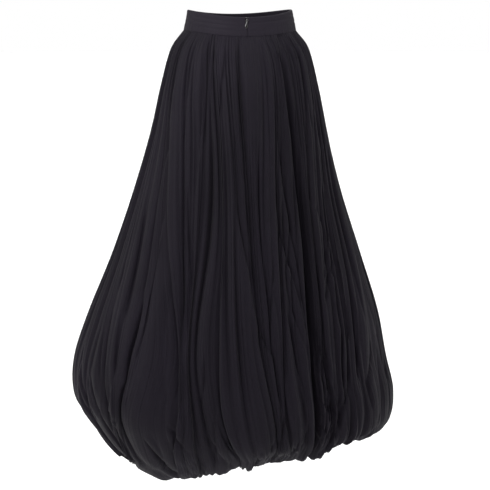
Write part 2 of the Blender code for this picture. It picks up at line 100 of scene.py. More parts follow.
# The largest folds, at the solids' places or close to them, from the left seam round the
# back to the front: angles at six rings, depths at three, and width.  crease is 2 for a
# soft trough and 1 for a sharp one; lean says which bank hangs over it, -1 the bank at
# its greater angle, 1 the other.
FOLD_COLUMNS = ("seam", "hip", "thigh", "calf", "bulge", "tuck",
                "hip_depth", "calf_depth", "tuck_depth", "width", "crease", "lean")
FOLDS = (
    (-86, -86, -86, -85, -84, -86, 2, 4, 6, 9, 1.3, 0),
    (-81, -82, -81, -75, -74, -80, 3, 6, 8, 10, 1.1, 1),
    (-77, -78, -74, -65, -58.5, -73, 2, 6, 6, 9, 1.0, 1),
    (-73, -74, -66, -57, -55, -69.5, 3, 5, 3, 9, 1.2, 1),
    (-69, -70, -57, -49, -52.5, -65, 2, 6, 7, 9, 1.1, -1),
    (-65, -66, -50, -32, -29, -38, 5, 14, 13, 10, 1.0, -1),
    (-54, -52, -40, -29.5, -26.5, -33, 6, 12, 5, 9, 1.1, 1),
    (-40, -36, -30, -27, -24, -27.5, 6, 15, 15, 9, 1.0, 1),
    (-36, -31, -24, -24, -20, -20, 3, 14, 8, 8, 1.1, 0),
    (-32, -25, -17.8, -15, -13, -8, 7, 16, 16, 10, 1.0, -1),
    (-8, -8, -4, -1.5, 4, 7, 6, 12, 8, 9, 1.2, 1),
    (6, 5, 1, 3, 6.2, 9.7, 4, 8, 3, 7, 1.2, 1),
    (16, 17, 12, 8.7, 8.5, 12.5, 7, 15, 12, 9, 1.1, 1),
    (22, 23, 16, 13, 16, 19, 3, 12, 8, 8, 1.2, 0),
    (31, 29.5, 29.3, 23.2, 22, 24, 14, 42, 30, 9.5, 2.8, 0),
    (50, 48, 36, 29.5, 30, 31, 6, 15, 10, 10, 1.1, -1),
    (57, 57, 43, 35, 33, 34, 4, 14, 8, 8, 1.0, 0),
    (64, 64, 51, 42, 39, 40, 4, 13, 9, 10, 1.2, -1),
    (70, 71, 59, 48, 46, 48, 3, 9, 5, 9, 1.1, -1),
    (76, 77, 70, 57, 54, 58, 2, 6, 6, 11, 1.2, 1),
    (81, 82, 79, 68, 65, 69, 3, 5, 5, 10, 1.1, 1),
    (86, 86, 85, 79, 78, 79, 2, 5, 7, 9, 1.3, 0),
    (94, 94, 96, 99, 98, 97, 2, 7, 10, 9, 1.2, 1),
    (99, 99, 103, 109, 110, 107, 3, 10, 11, 10, 1.1, -1),
    (104, 104, 110, 118, 121, 116, 3, 14, 12, 12, 1.2, 1),
    (112, 113, 121, 131, 128, 126, 4, 15, 9, 10, 1.0, 1),
    (121, 122, 130, 138, 142, 138, 5, 22, 14, 13, 1.6, -1),
    (131, 131, 137, 145, 147, 149, 6, 12, 8, 9, 1.1, 1),
    (142, 143, 149, 152, 154, 157, 7, 16, 14, 10, 1.0, 1),
    (155, 154, 158, 162, 160, 164, 4, 13, 7, 8, 1.2, -1),
    (166, 167, 169, 171, 174, 171, 6, 18, 13, 11, 1.0, 1),
    (181, 180, 180, 182, 181, 184, 4, 11, 6, 8, 1.3, 0),
    (193, 193, 192, 189, 190, 193, 7, 17, 14, 11, 1.0, -1),
    (206, 207, 203, 199, 202, 199, 4, 12, 8, 9, 1.2, 1),
    (218, 217, 213, 208, 207, 210, 8, 25, 16, 14, 1.7, -1),
    (229, 228, 221, 216, 213, 217, 5, 13, 7, 9, 1.1, 1),
    (238, 238, 230, 223, 226, 229, 4, 15, 12, 10, 1.0, -1),
    (247, 248, 240, 233, 236, 238, 4, 12, 8, 10, 1.2, 1),
    (256, 257, 250, 243, 241, 245, 3, 13, 12, 12, 1.0, 1),
    (261, 262, 258, 252, 251, 254, 3, 9, 12, 10, 1.2, -1),
    (266, 266, 265, 262, 263, 263, 2, 6, 9, 9, 1.3, 0),
)
FOLD_RING_STEP = 2  # rings between the fold angles' columns
STEEP_BANK, SLOW_BANK = 0.55, 2.1  # shares of a fold's width that its two banks take
OVERHANG = 0.35  # how far a bank leans over, as a share of the depth
LEAN_PLACE, LEAN_WIDTH = 1.3, 1.1  # of that lean, in widths of the steep bank
JOINING = 4  # power by which folds that meet join; a higher one keeps the deeper
HEM_SHARE = 0.1  # of a fold's depth at the tuck, left at the hem
SEAM_ANGLES = (-90, 90, 270)
PANEL_ANGLES = ((-90, 0), (0, 90), (90, 270))
TUCK_RING, FOLD_RING = 10, 11
FALL_SHARE = 0.6  # how nearly the folds fall straight between those rings
EVEN_AT_RINGS = (0, 6, 10)  # where a panel's columns are evenly spaced

# Broad hollows, where groups of folds lie back between the fuller ones.
HOLLOW_COLUMNS = ("name", "seam", "hip", "thigh", "calf", "bulge", "tuck", "depth", "width")
HOLLOWS = (
    ("left_of_centre", -38, -33, -28, -25, -22, -21, 8, 38),
    ("right_of_centre", 26, 26, 26, 25, 27, 28, 9, 70),
    ("front_right", 126, 127, 135, 142, 144, 142, 8, 52),
    ("front_centre", 186, 186, 185, 184, 184, 186, 6, 44),
    ("front_left", 222, 221, 215, 211, 210, 213, 9, 58),
)

# Broad places where the pleats lie almost flat: how far they reach each way, and what
# share of the pleats' depth is left.
CALMS = (
    # angle, ring, angle reach, ring reach, left
    (-50, 7, 11, 3.2, 0.30),
    (-38, 8.6, 8, 2.2, 0.30),
    (-12, 8.2, 8, 1.8, 0.35),
    (-64, 5.4, 9, 2, 0.40),
    (-74, 8.4, 15, 3.4, 0.30),
    (78, 8.8, 11, 2.6, 0.45),
    (64, 8.2, 14, 2.6, 0.35),
    (2, 8, 5, 1.8, 0.50),
    (106, 7.6, 9, 2.6, 0.40),
    (133, 8.4, 7, 1.8, 0.45),
    (165, 7.8, 9, 2.4, 0.35),
    (197, 8.6, 7, 2, 0.40),
    (232, 7.2, 11, 2.8, 0.35),
    (250, 8.8, 7, 1.8, 0.45),
)

# Creases that cross the pleats.
CREASES = (
    # angle and ring at one end, the same at the other, depth, width
    (-72, 7.2, -65, 8.3, 5, 5),
    (-83, 6.2, -79, 7.2, 4, 6),
    (-41, 8.7, -43, 9.8, 4, 5),
    (-33, 8.3, -29.5, 9.3, 7, 4),
    (-20, 8.8, -14, 10.4, 5, 5),
    (-6, 7.8, -1, 10.5, 4, 7),
    (14, 8.6, 19, 10.4, 5, 5),
    (25, 9.2, 22, 10.6, 5, 4),
    (31, 8.8, 27, 10.4, 5, 4),
    (24, 6.9, 30, 8.2, 5, 5),
    (29, 6.6, 35, 8.4, 5, 5),
    (52, 8.9, 48, 10.4, 4, 4),
    (63, 5.9, 69, 7.8, 5, 6),
    (72, 8.6, 66, 10.0, 4, 4),
    (105, 7.8, 99, 9.4, 5, 6),
    (117, 8.4, 124, 10.2, 5, 5),
    (133, 6.6, 139, 8.6, 5, 6),
    (152, 8.4, 147, 10.3, 6, 5),
    (163, 7.6, 167, 9.8, 4, 6),
    (178, 8.8, 174, 10.5, 5, 5),
    (196, 8.0, 201, 10.2, 5, 5),
    (214, 6.8, 209, 8.8, 5, 5),
    (222, 8.6, 228, 10.4, 6, 5),
    (243, 7.6, 248, 9.6, 5, 6),
    (256, 6.4, 252, 8.0, 4, 6),
)
CREASE_RUN_OUT = 0.25  # past its two ends, as a share of its length
CREASE_TAPER, CREASE_SHARPNESS = 1.5, 1.3

# Long thin folds between the pleats: their top, middle and bottom, depth,
# width of the slow bank, and which bank is steep, 1 the one at the smaller angle and -1
# the other.
LINES = (
    # angle and ring at the top, in the middle and at the bottom, depth, width, steep
    (-37.2, 4, -30.5, 5.1, -28.6, 6, 7, 14, 1),
    (-35, 4.8, -31.4, 5.4, -28.6, 6.6, 5, 10, -1),
    (-16.5, 3.9, -15.4, 4.5, -14, 5.2, 5, 10, 1),
    (-12, 3.2, -9.8, 4.2, -4, 5.3, 7, 13, 1),
    (-50, 4.4, -47, 5.2, -46.5, 5.8, 5, 16, -1),
    (-46, 5.6, -44.8, 6.4, -45, 7, 5, 14, 1),
    (-6.4, 4, -3.8, 5.1, -1.2, 5.9, 7, 12, 1),
    (16.8, 3.2, 18.6, 4.7, 19.8, 6, 12, 15, 1),
    (15.6, 4.1, 14.4, 4.7, 13.2, 5.3, 5, 10, -1),
    (36, 4, 40, 4.4, 43, 5, 5, 10, 1),
    (47, 4, 44, 4.6, 34.8, 5.2, 7, 12, -1),
    (45.6, 4.6, 42.6, 4.9, 40, 5.2, 5, 10, -1),
    (40.4, 5.2, 38.6, 5.5, 36.6, 6, 6, 11, 1),
    (6.4, 5.4, 4.6, 5.7, 3.4, 6.2, 5, 10, -1),
    (13.4, 5.6, 16, 6, 18.4, 6.5, 6, 12, 1),
    (8.4, 7.2, 9.4, 8, 11.2, 8.8, 6, 12, -1),
    (7.4, 8.1, 6.6, 8.7, 6, 9.4, 6, 9, 1),
    (24.4, 6.2, 25.4, 7.2, 29.2, 8.6, 8, 12, 1),
    (38, 6.4, 36.6, 7, 35.2, 7.6, 7, 12, -1),
    (40, 6.8, 37.6, 7.4, 34.4, 8, 6, 10, 1),
    (55, 6.9, 50, 7.3, 48.2, 7.8, 4, 12, -1),
    (-69, 7.3, -66.6, 7.7, -64, 8.2, 5, 14, 1),
    (-78.5, 7.6, -76.5, 8.1, -75, 8.7, 5, 12, 1),
    (-27, 7.5, -29.6, 8.4, -31.4, 9.4, 6, 11, -1),
    (-19.8, 6.6, -19.6, 7, -20.4, 7.6, 5, 10, 1),
    (-15.6, 7.8, -16.6, 8.8, -18.2, 9.8, 7, 12, -1),
    (-64.6, 8.4, -68, 9, -72, 9.9, 8, 14, 1),
    (-55, 7.2, -59, 8.2, -64, 9.4, 6, 18, -1),
    (-59, 8.6, -62, 9.3, -67, 10.2, 8, 12, -1),
    (-46, 9.2, -47.5, 9.9, -50, 10.8, 8, 9, 1),
    (23, 6.6, 27.6, 7.4, 31.8, 8.2, 5, 8, 1),
    (21.8, 7.3, 26, 8, 30.4, 8.8, 5, 8, 1),
    (21.4, 8, 24.6, 8.6, 28, 9.3, 5, 8, 1),
    (22, 8.6, 24.2, 9.1, 26.4, 9.8, 5, 7, -1),
    (29, 7, 32, 7.8, 34.6, 8.6, 5, 9, -1),
    (-14.2, 8.5, -12.6, 9.2, -10, 9.9, 5, 8, 1),
    (-12, 8.7, -10.2, 9.3, -8.2, 10, 5, 8, -1),
    (5.4, 8.1, 3.6, 9, 2.4, 9.9, 5, 8, 1),
    (13, 8.2, 14.4, 9, 14, 9.9, 5, 8, -1),
    (17.6, 8.4, 17, 9.2, 16, 9.9, 5, 8, 1),
    (33, 8.2, 31, 9.2, 30, 10, 5, 9, -1),
    (-20, 1, -21.5, 1.9, -21, 2.8, 4, 8, 1),
    (-28, 0.6, -30, 1.6, -28.5, 2.6, 4, 8, -1),
    (-10, 0.8, -10.5, 2, -9, 3.2, 4, 8, 1),
    (12, 0.8, 12.6, 1.8, 10, 3.2, 4, 8, -1),
    (25, 0.5, 27.6, 1.6, 27, 2.8, 4, 9, 1),
    (40, 0.7, 44, 1.7, 40, 3, 5, 10, -1),
    (56, 0.5, 60, 1.5, 54, 3.2, 5, 10, 1),
    (70, 1.2, 68, 2.4, 62, 3.8, 5, 12, -1),
    (-50, 0.6, -51, 1.6, -48, 2.8, 4, 9, 1),
    (-64, 1, -63, 2.2, -58, 3.6, 5, 12, -1),
    (98, 3.6, 102, 5, 106, 6.4, 6, 13, 1),
    (104, 7, 101, 8.2, 100, 9.4, 7, 13, -1),
    (112, 4.2, 117, 5.4, 120, 6.6, 6, 12, 1),
    (118, 7.2, 122, 8.2, 124, 9.4, 7, 11, 1),
    (124, 1, 126, 2.4, 130, 3.8, 5, 10, -1),
    (129, 5.2, 133, 6.4, 136, 7.4, 7, 12, -1),
    (137, 7.6, 139, 8.6, 137, 9.8, 7, 10, 1),
    (140, 2.2, 143, 3.6, 146, 4.8, 6, 11, 1),
    (149, 5.4, 150, 6.6, 149, 7.8, 6, 12, -1),
    (156, 7.8, 153, 8.8, 152, 9.8, 7, 10, 1),
    (160, 1.2, 161, 2.6, 163, 4, 5, 10, -1),
    (166, 4.4, 164, 5.6, 164, 6.8, 6, 12, 1),
    (170, 8, 171, 8.9, 169, 9.9, 6, 10, -1),
    (175, 2.6, 176, 4, 177, 5.4, 6, 11, 1),
    (183, 5.2, 184, 6.6, 186, 7.8, 7, 12, -1),
    (188, 8, 186, 9, 185, 9.9, 6, 10, 1),
    (192, 1, 191, 2.4, 188, 3.8, 5, 10, 1),
    (199, 4, 196, 5.4, 194, 6.6, 6, 12, -1),
    (204, 7.4, 206, 8.4, 205, 9.6, 7, 10, 1),
    (209, 2, 205, 3.6, 203, 5, 6, 11, 1),
    (213, 5.8, 215, 6.9, 219, 8, 7, 12, -1),
    (221, 8, 222, 8.9, 220, 9.8, 6, 9, 1),
    (224, 1.4, 220, 2.8, 216, 4.2, 5, 11, -1),
    (231, 4.6, 228, 5.8, 228, 7, 6, 13, 1),
    (240, 7, 241, 8.2, 245, 9.4, 7, 12, -1),
    (244, 2.8, 240, 4.2, 236, 5.6, 6, 12, 1),
    (252, 5.2, 249, 6.6, 248, 7.8, 6, 13, 1),
    (259, 7.6, 257, 8.6, 254, 9.6, 7, 12, -1),
    (-49, 5.7, -50.2, 6.5, -49.2, 7.4, 13, 13, 1),
    (-49.4, 7, -53.6, 8.2, -60, 9.8, 9, 13, 1),
    (-64, 4.4, -60.4, 5.1, -56.6, 5.8, 7, 14, 1),
    (-47.6, 4.9, -45.6, 5.9, -46.2, 6.9, 7, 12, 1),
    (-46.2, 6.5, -47.4, 7.1, -49.6, 7.9, 6, 12, -1),
    (-44.2, 5.8, -45.6, 6.8, -49, 8, 4, 9, 1),
    (-68, 5.6, -61, 6.7, -57.2, 8.3, 8, 12, -1),
    (-67.6, 6.2, -64, 6.9, -61, 7.5, 5, 9, 1),
    (-58.8, 5.9, -57, 6.4, -54.4, 6.9, 5, 9, 1),
    (-70.4, 6.2, -70, 6.9, -71, 7.4, 4, 11, 1),
    (-70.2, 7.1, -67, 7.7, -64, 8.3, 7, 10, 1),
    (-80, 6.8, -76.6, 7.5, -70.6, 8.5, 6, 11, 1),
    (-39, 6.2, -35.6, 7.5, -41, 9.4, 3, 12, -1),
    (-36.8, 5.8, -32.4, 7.5, -37, 9.6, 4, 26, -1),
    (-9, 4.4, -5.4, 5, -1.8, 6.1, 8, 13, 1),
    (-2, 5.9, 3.5, 6.5, 6.6, 7.8, 8, 14, 1),
    (2.6, 4.8, 2.8, 5.5, 2.8, 6.2, 7, 12, 1),
    (7.2, 5, 5.4, 5.5, 3.9, 6.1, 7, 10, -1),
    (11.4, 4.4, 16.6, 5.2, 19, 6.1, 9, 13, 1),
    (8.2, 7.3, 7.4, 8.2, 7.2, 9.4, 8, 11, -1),
    (11.6, 5.8, 14, 6.7, 16.4, 7.4, 8, 12, 1),
    (30.8, 5.2, 29.2, 6, 30.4, 6.6, 8, 12, 1),
    (42.2, 5, 36.8, 5.3, 31.6, 5.7, 7, 12, -1),
    (45.8, 5.2, 43, 6.2, 37.6, 7.2, 8, 14, 1),
    (24.8, 6.3, 25.6, 7.7, 28.6, 9.2, 8, 9, 1),
    (25.4, 6.2, 27.8, 7.2, 30.2, 8.2, 7, 9, 1),
    (40.4, 7, 34, 8.1, 32, 9.2, 8, 14, -1),
    (56.4, 6.7, 49.2, 7.4, 48.8, 8, 7, 13, -1),
    (50.4, 5.7, 48.4, 6.4, 43, 7.4, 7, 13, -1),
    (-36.8, 0.6, -34.2, 1.8, -32.8, 2.8, 6, 8, 1),
    (-36.9, 2.2, -35.4, 3, -33.6, 3.7, 6, 9, -1),
    (33, 0.3, 35.4, 1.4, 34, 3, 5, 9, 1),
    (62, 0.4, 67, 1.4, 62, 2.8, 5, 9, 1),
    (48, 0.4, 52, 1.4, 49, 2.6, 5, 9, -1),
    (18, 0.4, 19.6, 1.6, 17, 3, 5, 9, 1),
    (4, 0.8, 4.2, 2.2, 2, 3.6, 4, 9, -1),
    (56, 3, 51, 4.2, 45, 5.4, 7, 12, 1),
    (66, 3.4, 60, 4.6, 54, 5.8, 7, 13, -1),
    (74, 4.6, 69, 5.8, 64, 7, 6, 13, 1),
    (62, 6.6, 58, 7.6, 56, 8.6, 4, 12, 1),
    (70, 7, 66, 8, 66, 9, 3, 11, -1),
    (26, 3.4, 23, 4.4, 17.6, 5.6, 7, 12, -1),
)
LINE_DEPTH = 1.25  # over the depths of the table
LINE_RUN_OUT = 0.18  # past its two ends, as a share of its length
LINE_TAPER, LINE_SHARPNESS = 0.8, 1.1
LINE_STEEP = 0.22  # width of the steep bank, over the slow one's
LINE_OVERHANG = 0.30  # how far it leans over, as a share of the depth
LINE_LEAN_PLACE, LINE_LEAN_WIDTH = 1.4, 1.2  # of that lean, in widths of the steep bank

# Puffs of the turned-under hem that hang lower or are drawn up: angle, how far down
# and half width in degrees.
PUFFS = (
    (-99, -14, 6), (-90, -12, 6), (-79, -16, 4), (-71.5, -5, 3), (-66, -3, 4), (-58, -9, 5),
    (-49, -9, 2.5), (-45, -3, 3), (-35.5, -3, 1.5), (-28.4, -4, 1.3), (-26, 4, 4), (-21, 5, 4),
    (-9, -7, 3.5), (-1.5, -8, 2.5), (5, -19, 5.5), (9.5, -7, 3), (13, -9, 4), (19, -11, 4),
    (28.5, 5, 2), (36.5, -18, 2.7), (43, -16, 3.5), (49, -13, 4), (54, -13, 3.5), (65, 2, 4),
    (84, -3, 5),
    (112, 4, 5), (121, -8, 3), (132, 5, 4), (141, -9, 3.5), (150, 4, 3), (160, -7, 3),
    (172, 6, 4), (183, -8, 3.5), (192, 5, 3), (203, -6, 4), (212, 6, 3.5), (221, -9, 3),
    (231, 5, 4), (243, -9, 4.5), (252, -12, 5), (261, -14, 6), (270, -12, 6), (281, -16, 4),
)
PUFF_RINGS = (9.2, 10.9, 12.4)  # where the puffs begin, hang most and end
SCALLOP = 3.2 * MM  # how far single pleats hang below the rest there
CRINKLE_RINGS = (7.9, 9.0, 10.0, 11.2, 12.4, 13.0)
CRINKLE_DEPTHS = (0.0, 2.4, 4.4, 4.4, 2.2, 0.0)
CRINKLES_A_PLEAT = 2.15
STEEPEST_CRINKLE = 0.75  # depth over pitch
CRINKLE_SWAY, CRINKLE_SWAY_SEED = 0.9, 31
SWAY_ACROSS, SWAY_DOWN, CHANGE_ACROSS = 3, 1.5, 2  # paces of their waves, over a slow wave's
CRINKLE_MEAN, CRINKLE_CHANGE, CRINKLE_SEED = 0.55, 0.6, 33
LEAST_CRINKLE = 0.1
CRINKLE_ROUNDING = 0.7  # under 1 is a blunter crest

PANELS = (
    # name, node, first and last pleat, columns, rows, flat width, flat length, flat area
    ("back_left_cloth", "skirt_back_left", 0, 30, 350, 139, 0.64, 0.99, 0.50),
    ("back_right_cloth", "skirt_back_right", 30, 60, 350, 139, 0.64, 0.99, 0.50),
    ("front_cloth", "skirt_front", 60, 120, 556, 87, 1.28, 0.99, 1.00),
)
COLUMN_SAMPLES, RING_SAMPLES = 2001, 1301
SEAM_ALLOWANCE = 4.0 * MM  # turned inwards along each upright seam
SEAM_BITE = 0.3 * MM  # how far the panels' edges press into each other
TUCK_INSET = 0.9 * MM  # the skirt's top edge, inside and above the band's lower one
TUCK_RISE = 0.7 * MM

# ---- waistband and hem band
# Outer face of the waistband as in the frame, with the columns of the rings.
BAND = (
    ("top", .0000, .0000, -.0140, -.0100, .1087, .1087, .0850, .0840),
    ("bottom", -.0415, -.0425, -.0528, -.0513, .1160, .1168, .0895, .0885),
)
BAND_WALL = 2.4 * MM
BAND_FLAT = (0.64, 0.046)
BAND_COLUMNS, BAND_ROWS = 360, 24
BAND_ROLL = (1.2 * MM, 0.3 * MM)  # at its top and lower edges
ZIP_SLOT_PLACES = (0.0, 0.30, 0.46, 1.0)  # down the band, 0 to 1
ZIP_SLOT_WIDTHS = (7.2, 6.4, 1.0, 0.4)
BAND_SWELL = 0.35 * MM
BAND_SWELL_WAVES = ((5.1, 3), (12.7, -2))  # degrees a radian, slant
BAND_PUCKER = 0.30 * MM  # where the skirt is sewn on
BAND_PUCKER_WAVES = ((1.9, 0.0), (1.13, 1.0))  # radians a degree, phase
BAND_TUCKS = (
    # down, depth, angle, reach
    (0.30, 1.0, 40, 45),
    (0.46, 0.9, -45, 40),
    (0.24, 0.8, -50, 35),
    (0.70, 0.7, -20, 50),
    (0.60, 0.8, 75, 40),
    (0.38, 0.7, 150, 60),
    (0.62, 0.6, 215, 60),
)
BAND_TUCK_WIDTH = 0.04  # shares of the band's height, as their places are
HEM_BAND_GAP = 0.3 * MM
HEM_BAND_WALL = 2.0 * MM
HEM_BAND_HEIGHT = 18.0 * MM
HEM_BAND_FLAT = (1.14, 0.019)
HEM_BAND_WAVE, HEM_BAND_WAVES = 0.5 * MM, 23
HEM_BAND_COLUMNS, HEM_BAND_ROWS = 300, 6

# ---- zip
SLIDER_BELOW_TOP = 4.8 * MM
PULL_STAND_OFF = 1.15 * MM
PULL_THICKNESS = 1.1 * MM
PULL_LEAN = math.radians(9.0)
PULL_OUTLINE = (
    # height, half width
    (0.55, 1.50), (0.25, 1.95), (-1.5, 2.25), (-3.6, 2.00), (-5.2, 1.45), (-9.0, 1.80),
    (-13.0, 2.50), (-15.4, 2.45), (-17.0, 1.70), (-17.7, 0.70),
)
PULL_EYE_CENTRE = -2.2 * MM
PULL_EYE_HALF_HEIGHT, PULL_EYE_HALF_WIDTH = 1.55 * MM, 1.25 * MM
PULL_OUTLINE_STEPS, PULL_EYE_STEPS = 4, 32
PULL_BEVEL = 0.45 * MM
PULL_GRAIN = 0.16 * MM  # size of the small faces that round it
PULL_EDGE_SHARE = 0.35  # its thickness at the edges, over that in the middle
CHAIN_PITCH = 1.3 * MM
CHAIN_TOOTH = (1.24 * MM, 1.10 * MM, 0.8 * MM)  # across, deep and high
CHAIN_LEAN = 0.25 * MM  # teeth stand left and right in turn
CHAIN_INSET = 3.1 * MM  # behind the waistband's outer face
CHAIN_BELOW_TOP = (9.6 * MM, 43.0 * MM)

# ---- finishes
CLOTHS = {
    # dark and light colour, roughness, sheen, width of a thread and of the long grain, its depth
    "pleated_cloth": ((0.0050, 0.0039, 0.0065), (0.0108, 0.0085, 0.0141), 0.70, 0.02, 0.45, 9.0, 3.5),
    # The band's cloth is the same black fabric as the pleated cloth, its colours painted lighter to
    # stand in for the light that falls on the smooth band.
    "band_cloth_painted_light": ((0.0094, 0.0077, 0.0116), (0.0148, 0.0120, 0.0181), 0.66, 0.02, 0.45, 5.0, 0.2),
    "tape_cloth": ((0.004, 0.0038, 0.0045), (0.008, 0.0075, 0.009), 0.85, 0.1, 0.6, 2.0, 0.2),
}
CLOTH_SPECULAR = 0.09
SHEEN_ROUGHNESS = 0.5
SHADE_ENDS = (0.14, 0.42)  # where the shade is darkest and lightest
SLUB_STRETCH, GRAIN_STRETCH = 0.06, 0.02  # width over length
THREAD_WAVES = 0.31  # texture waves a thread
THREAD_RELIEF = 0.15 * MM
METALS = {
    # colour, roughness, metallic
    "black_metal": ((0.03, 0.028, 0.032), 0.35, 0.7),
    "bright_metal": ((0.15, 0.147, 0.15), 0.16, 1.0),
}
WORN_SHADE = 0.82  # darkest of the metal's colour
WORN_GLOSS = (0.8, 1.3)  # least and most of its roughness
WEAR_RELIEF = 0.02 * MM
FLOOR_TONES = ((0.955, 0.955, 0.955), (0.975, 0.975, 0.975))
WHITE = (1.0, 1.0, 1.0, 1.0)

# ---- camera and light
# The camera was worked out from the waist's and hem's outlines in the photograph.
CAMERA_DISTANCE = 3.4
CAMERA_AZIMUTH = math.radians(-10.0)
CAMERA_HEIGHT = 0.05
CAMERA_TARGET = (0.0106, -0.0019, -0.4910)
CAMERA_LENS, CAMERA_SENSOR = 120.1, 36.0
FLOOR_HEIGHT, FLOOR_RADIUS, FLOOR_SIDES = -1.30, 30.0, 64
SOFT_BOX_PLACE = (-0.45, -0.82, 0.50)  # close to the waist, on its left
SOFT_BOX_AIM = (0.0, 0.0, -0.15)
SOFT_BOX_WIDTH, SOFT_BOX_POWER = 0.7, 10.5
LIGHTS = (
    # name, azimuth, elevation, strength, softness; far broad lamps, angles in degrees
    ("top", 15, 64, 0.85, 30),
    ("left", -106, 38, 1.65, 20),
    ("right", 97, 40, 1.45, 20),
    ("front", -60, 20, 0.62, 8),
    ("low", 45, 3, 0.35, 20),
    ("behind", 170, 30, 1.5, 30),
)
SURROUND = 0.065  # even light from all round
FLOOR_GLOW = 0.12  # lifts the far floor to the white of the backdrop
BACKDROP = 1.0


def columns(rows, titles, *names):
    """The named columns of a table, as an array with a row for each of its rows."""
    return np.array([[row[titles.index(name)] for name in names] for row in rows], float)


ANGLE_COLUMNS = ("seam", "hip", "thigh", "calf", "bulge", "tuck")
FORM_COLUMNS = RING_COLUMNS[1:9]
RING_TABLE = columns(RINGS, RING_COLUMNS, *FORM_COLUMNS)
GATHER_LIMITS = columns(RINGS, RING_COLUMNS, "gather") * MM
BAND_TABLE = columns(BAND, RING_COLUMNS, *FORM_COLUMNS)
LEFT_REACH, RIGHT_REACH = FORM_COLUMNS.index("left"), FORM_COLUMNS.index("right")
LAST_RING = len(RINGS) - 1
FOLD_ANGLES = columns(FOLDS, FOLD_COLUMNS, *ANGLE_COLUMNS)
FOLD_DEPTHS = columns(FOLDS, FOLD_COLUMNS, "hip_depth", "calf_depth", "tuck_depth") * MM
FOLD_WIDTHS = columns(FOLDS, FOLD_COLUMNS, "width")[:, 0] * MM
FOLD_CREASE, FOLD_LEAN = columns(FOLDS, FOLD_COLUMNS, "crease", "lean").T
FOLD_DEPTH_RINGS = (0, 2, 6, 10, LAST_RING)
HOLLOW_ANGLES = columns(HOLLOWS, HOLLOW_COLUMNS, *ANGLE_COLUMNS)
HOLLOW_DEPTHS, HOLLOW_WIDTHS = columns(HOLLOWS, HOLLOW_COLUMNS, "depth", "width").T * MM
HOLLOW_RINGS = (0, 2.5, 6, 9, 10.5, LAST_RING)
HOLLOW_SHARES = (0, 0.35, 1, 1, 0.3, 0)


# ---- the body's form

def between(before, start, end, after, t):
    """The value a share t of the way from start to end, on a smooth curve through all four."""
    return 0.5 * (2 * start + (end - before) * t
                  + (2 * before - 5 * start + 4 * end - after) * t ** 2
                  + (3 * start - before - 3 * end + after) * t ** 3)


def smooth_row(table, place):
    """Value at a place between the table's rows, on a smooth curve through them all."""
    last = len(table) - 1
    row = min(max(int(math.floor(place)), 0), last - 1)
    start, end = table[row], table[row + 1]
    before = table[row - 1] if row > 0 else 2 * start - end
    after = table[row + 2] if row + 2 <= last else 2 * end - start
    return between(before, start, end, after, place - row)


def ring_points(angles, row):
    """Points round one ring, whose four quarters have their own reaches and heights."""
    z_left, z_right, z_back, z_front, left, right, back, front = row
    sine, cosine = np.sin(angles), np.cos(angles)
    side = np.where(sine >= 0, right, left)
    z_side = np.where(sine >= 0, z_right, z_left)
    end = np.where(cosine >= 0, back, front)
    z_end = np.where(cosine >= 0, z_back, z_front)
    return np.stack([side * sine, -end * cosine, z_side * sine ** 2 + z_end * cosine ** 2], -1)


def form_points(angles, ring):
    return ring_points(angles, smooth_row(RING_TABLE, ring))


def unit(vectors):
    return vectors / np.linalg.norm(vectors, axis=-1, keepdims=True)


def form_axes(angles, ring):
    """Outward normals and directions round the form at one ring, with arc per radian."""
    below, above = min(ring + NEAR, LAST_RING), max(ring - NEAR, 0)
    down = form_points(angles, below) - form_points(angles, above)
    along = form_points(angles + NEAR, ring) - form_points(angles - NEAR, ring)
    normals = np.cross(down, along)
    if ring in (0, LAST_RING):
        normals[:, 2] = 0.0
    return unit(normals), unit(along), np.linalg.norm(along, axis=1) / (2 * NEAR)


def level_axes(angles, row):
    """Outward directions round one ring, kept level."""
    along = ring_points(angles + NEAR, row) - ring_points(angles - NEAR, row)
    return unit(np.stack([along[:, 1], -along[:, 0], np.zeros(len(angles))], -1))


# ---- uneven values

def all_gathers():
    """First pleat, number of pleats and depth of each gather; none crosses a seam."""
    generator = random.Random(GATHER_SEED)
    rows = []
    for _, _, first, last, *_ in PANELS:
        while first < last:
            size = generator.choice(GATHER_SIZES)
            if last - first - size < min(GATHER_SIZES):
                size = last - first
            rows.append((first, size, generator.uniform(LEAST_GATHER, 1.0)))
            first += size
    return np.array(rows)


def all_pleat_lines():
    """Waist angles of all valleys and ridges, in the same places as the solids'."""
    step = 180.0 / PLEAT_COUNT
    lines = []
    for start, end in PANEL_ANGLES:
        generator = random.Random(GATHER_SEED + start)
        strays = [generator.uniform(-PLEAT_SHIFT, PLEAT_SHIFT)
                  for _ in range(round((end - start) / step) - 1)]
        lines += [start + step * number + stray for number, stray in enumerate([0] + strays)]
    return np.array(lines + [SEAM_ANGLES[-1]])


def varied(seed, low, high, count=PLEAT_COUNT):
    """Uneven values, one for each pleat or for each line between pleats."""
    generator = random.Random(seed)
    return np.array([generator.uniform(low, high) for _ in range(count)])


def slow_wave(numbers, ring, seed):
    """A smooth uneven swell over the cloth, between -1 and 1 or little more."""
    generator = random.Random(seed)
    total = 0
    for _ in range(WAVE_COUNT):
        across, down = generator.uniform(*WAVES_ACROSS), generator.uniform(*WAVES_DOWN)
        total = total + np.sin(across * numbers + down * ring + generator.uniform(0, math.tau))
    return total / WAVE_SUM


GATHERS = all_gathers()
PLEAT_LINES = all_pleat_lines()
VALLEY_DEPTH = varied(21, 0.35, 1.20, PLEAT_COUNT + 1)
VALLEY_PHASE = varied(23, 0, math.tau, PLEAT_COUNT + 1)
VALLEY_PACE = varied(25, 0.5, 1.5, PLEAT_COUNT + 1)
PLEAT_CREST = varied(22, 0.22, 0.78)  # where its ridge is, 0 to 1 across
CREST_SINK = varied(24, 0.0, 0.40)
GATHER_CREST = varied(26, 0.25, 0.75)
GATHER_PHASE = varied(27, 0, math.tau)
SCALLOP_SHARE = varied(28, -0.5, 1.0)


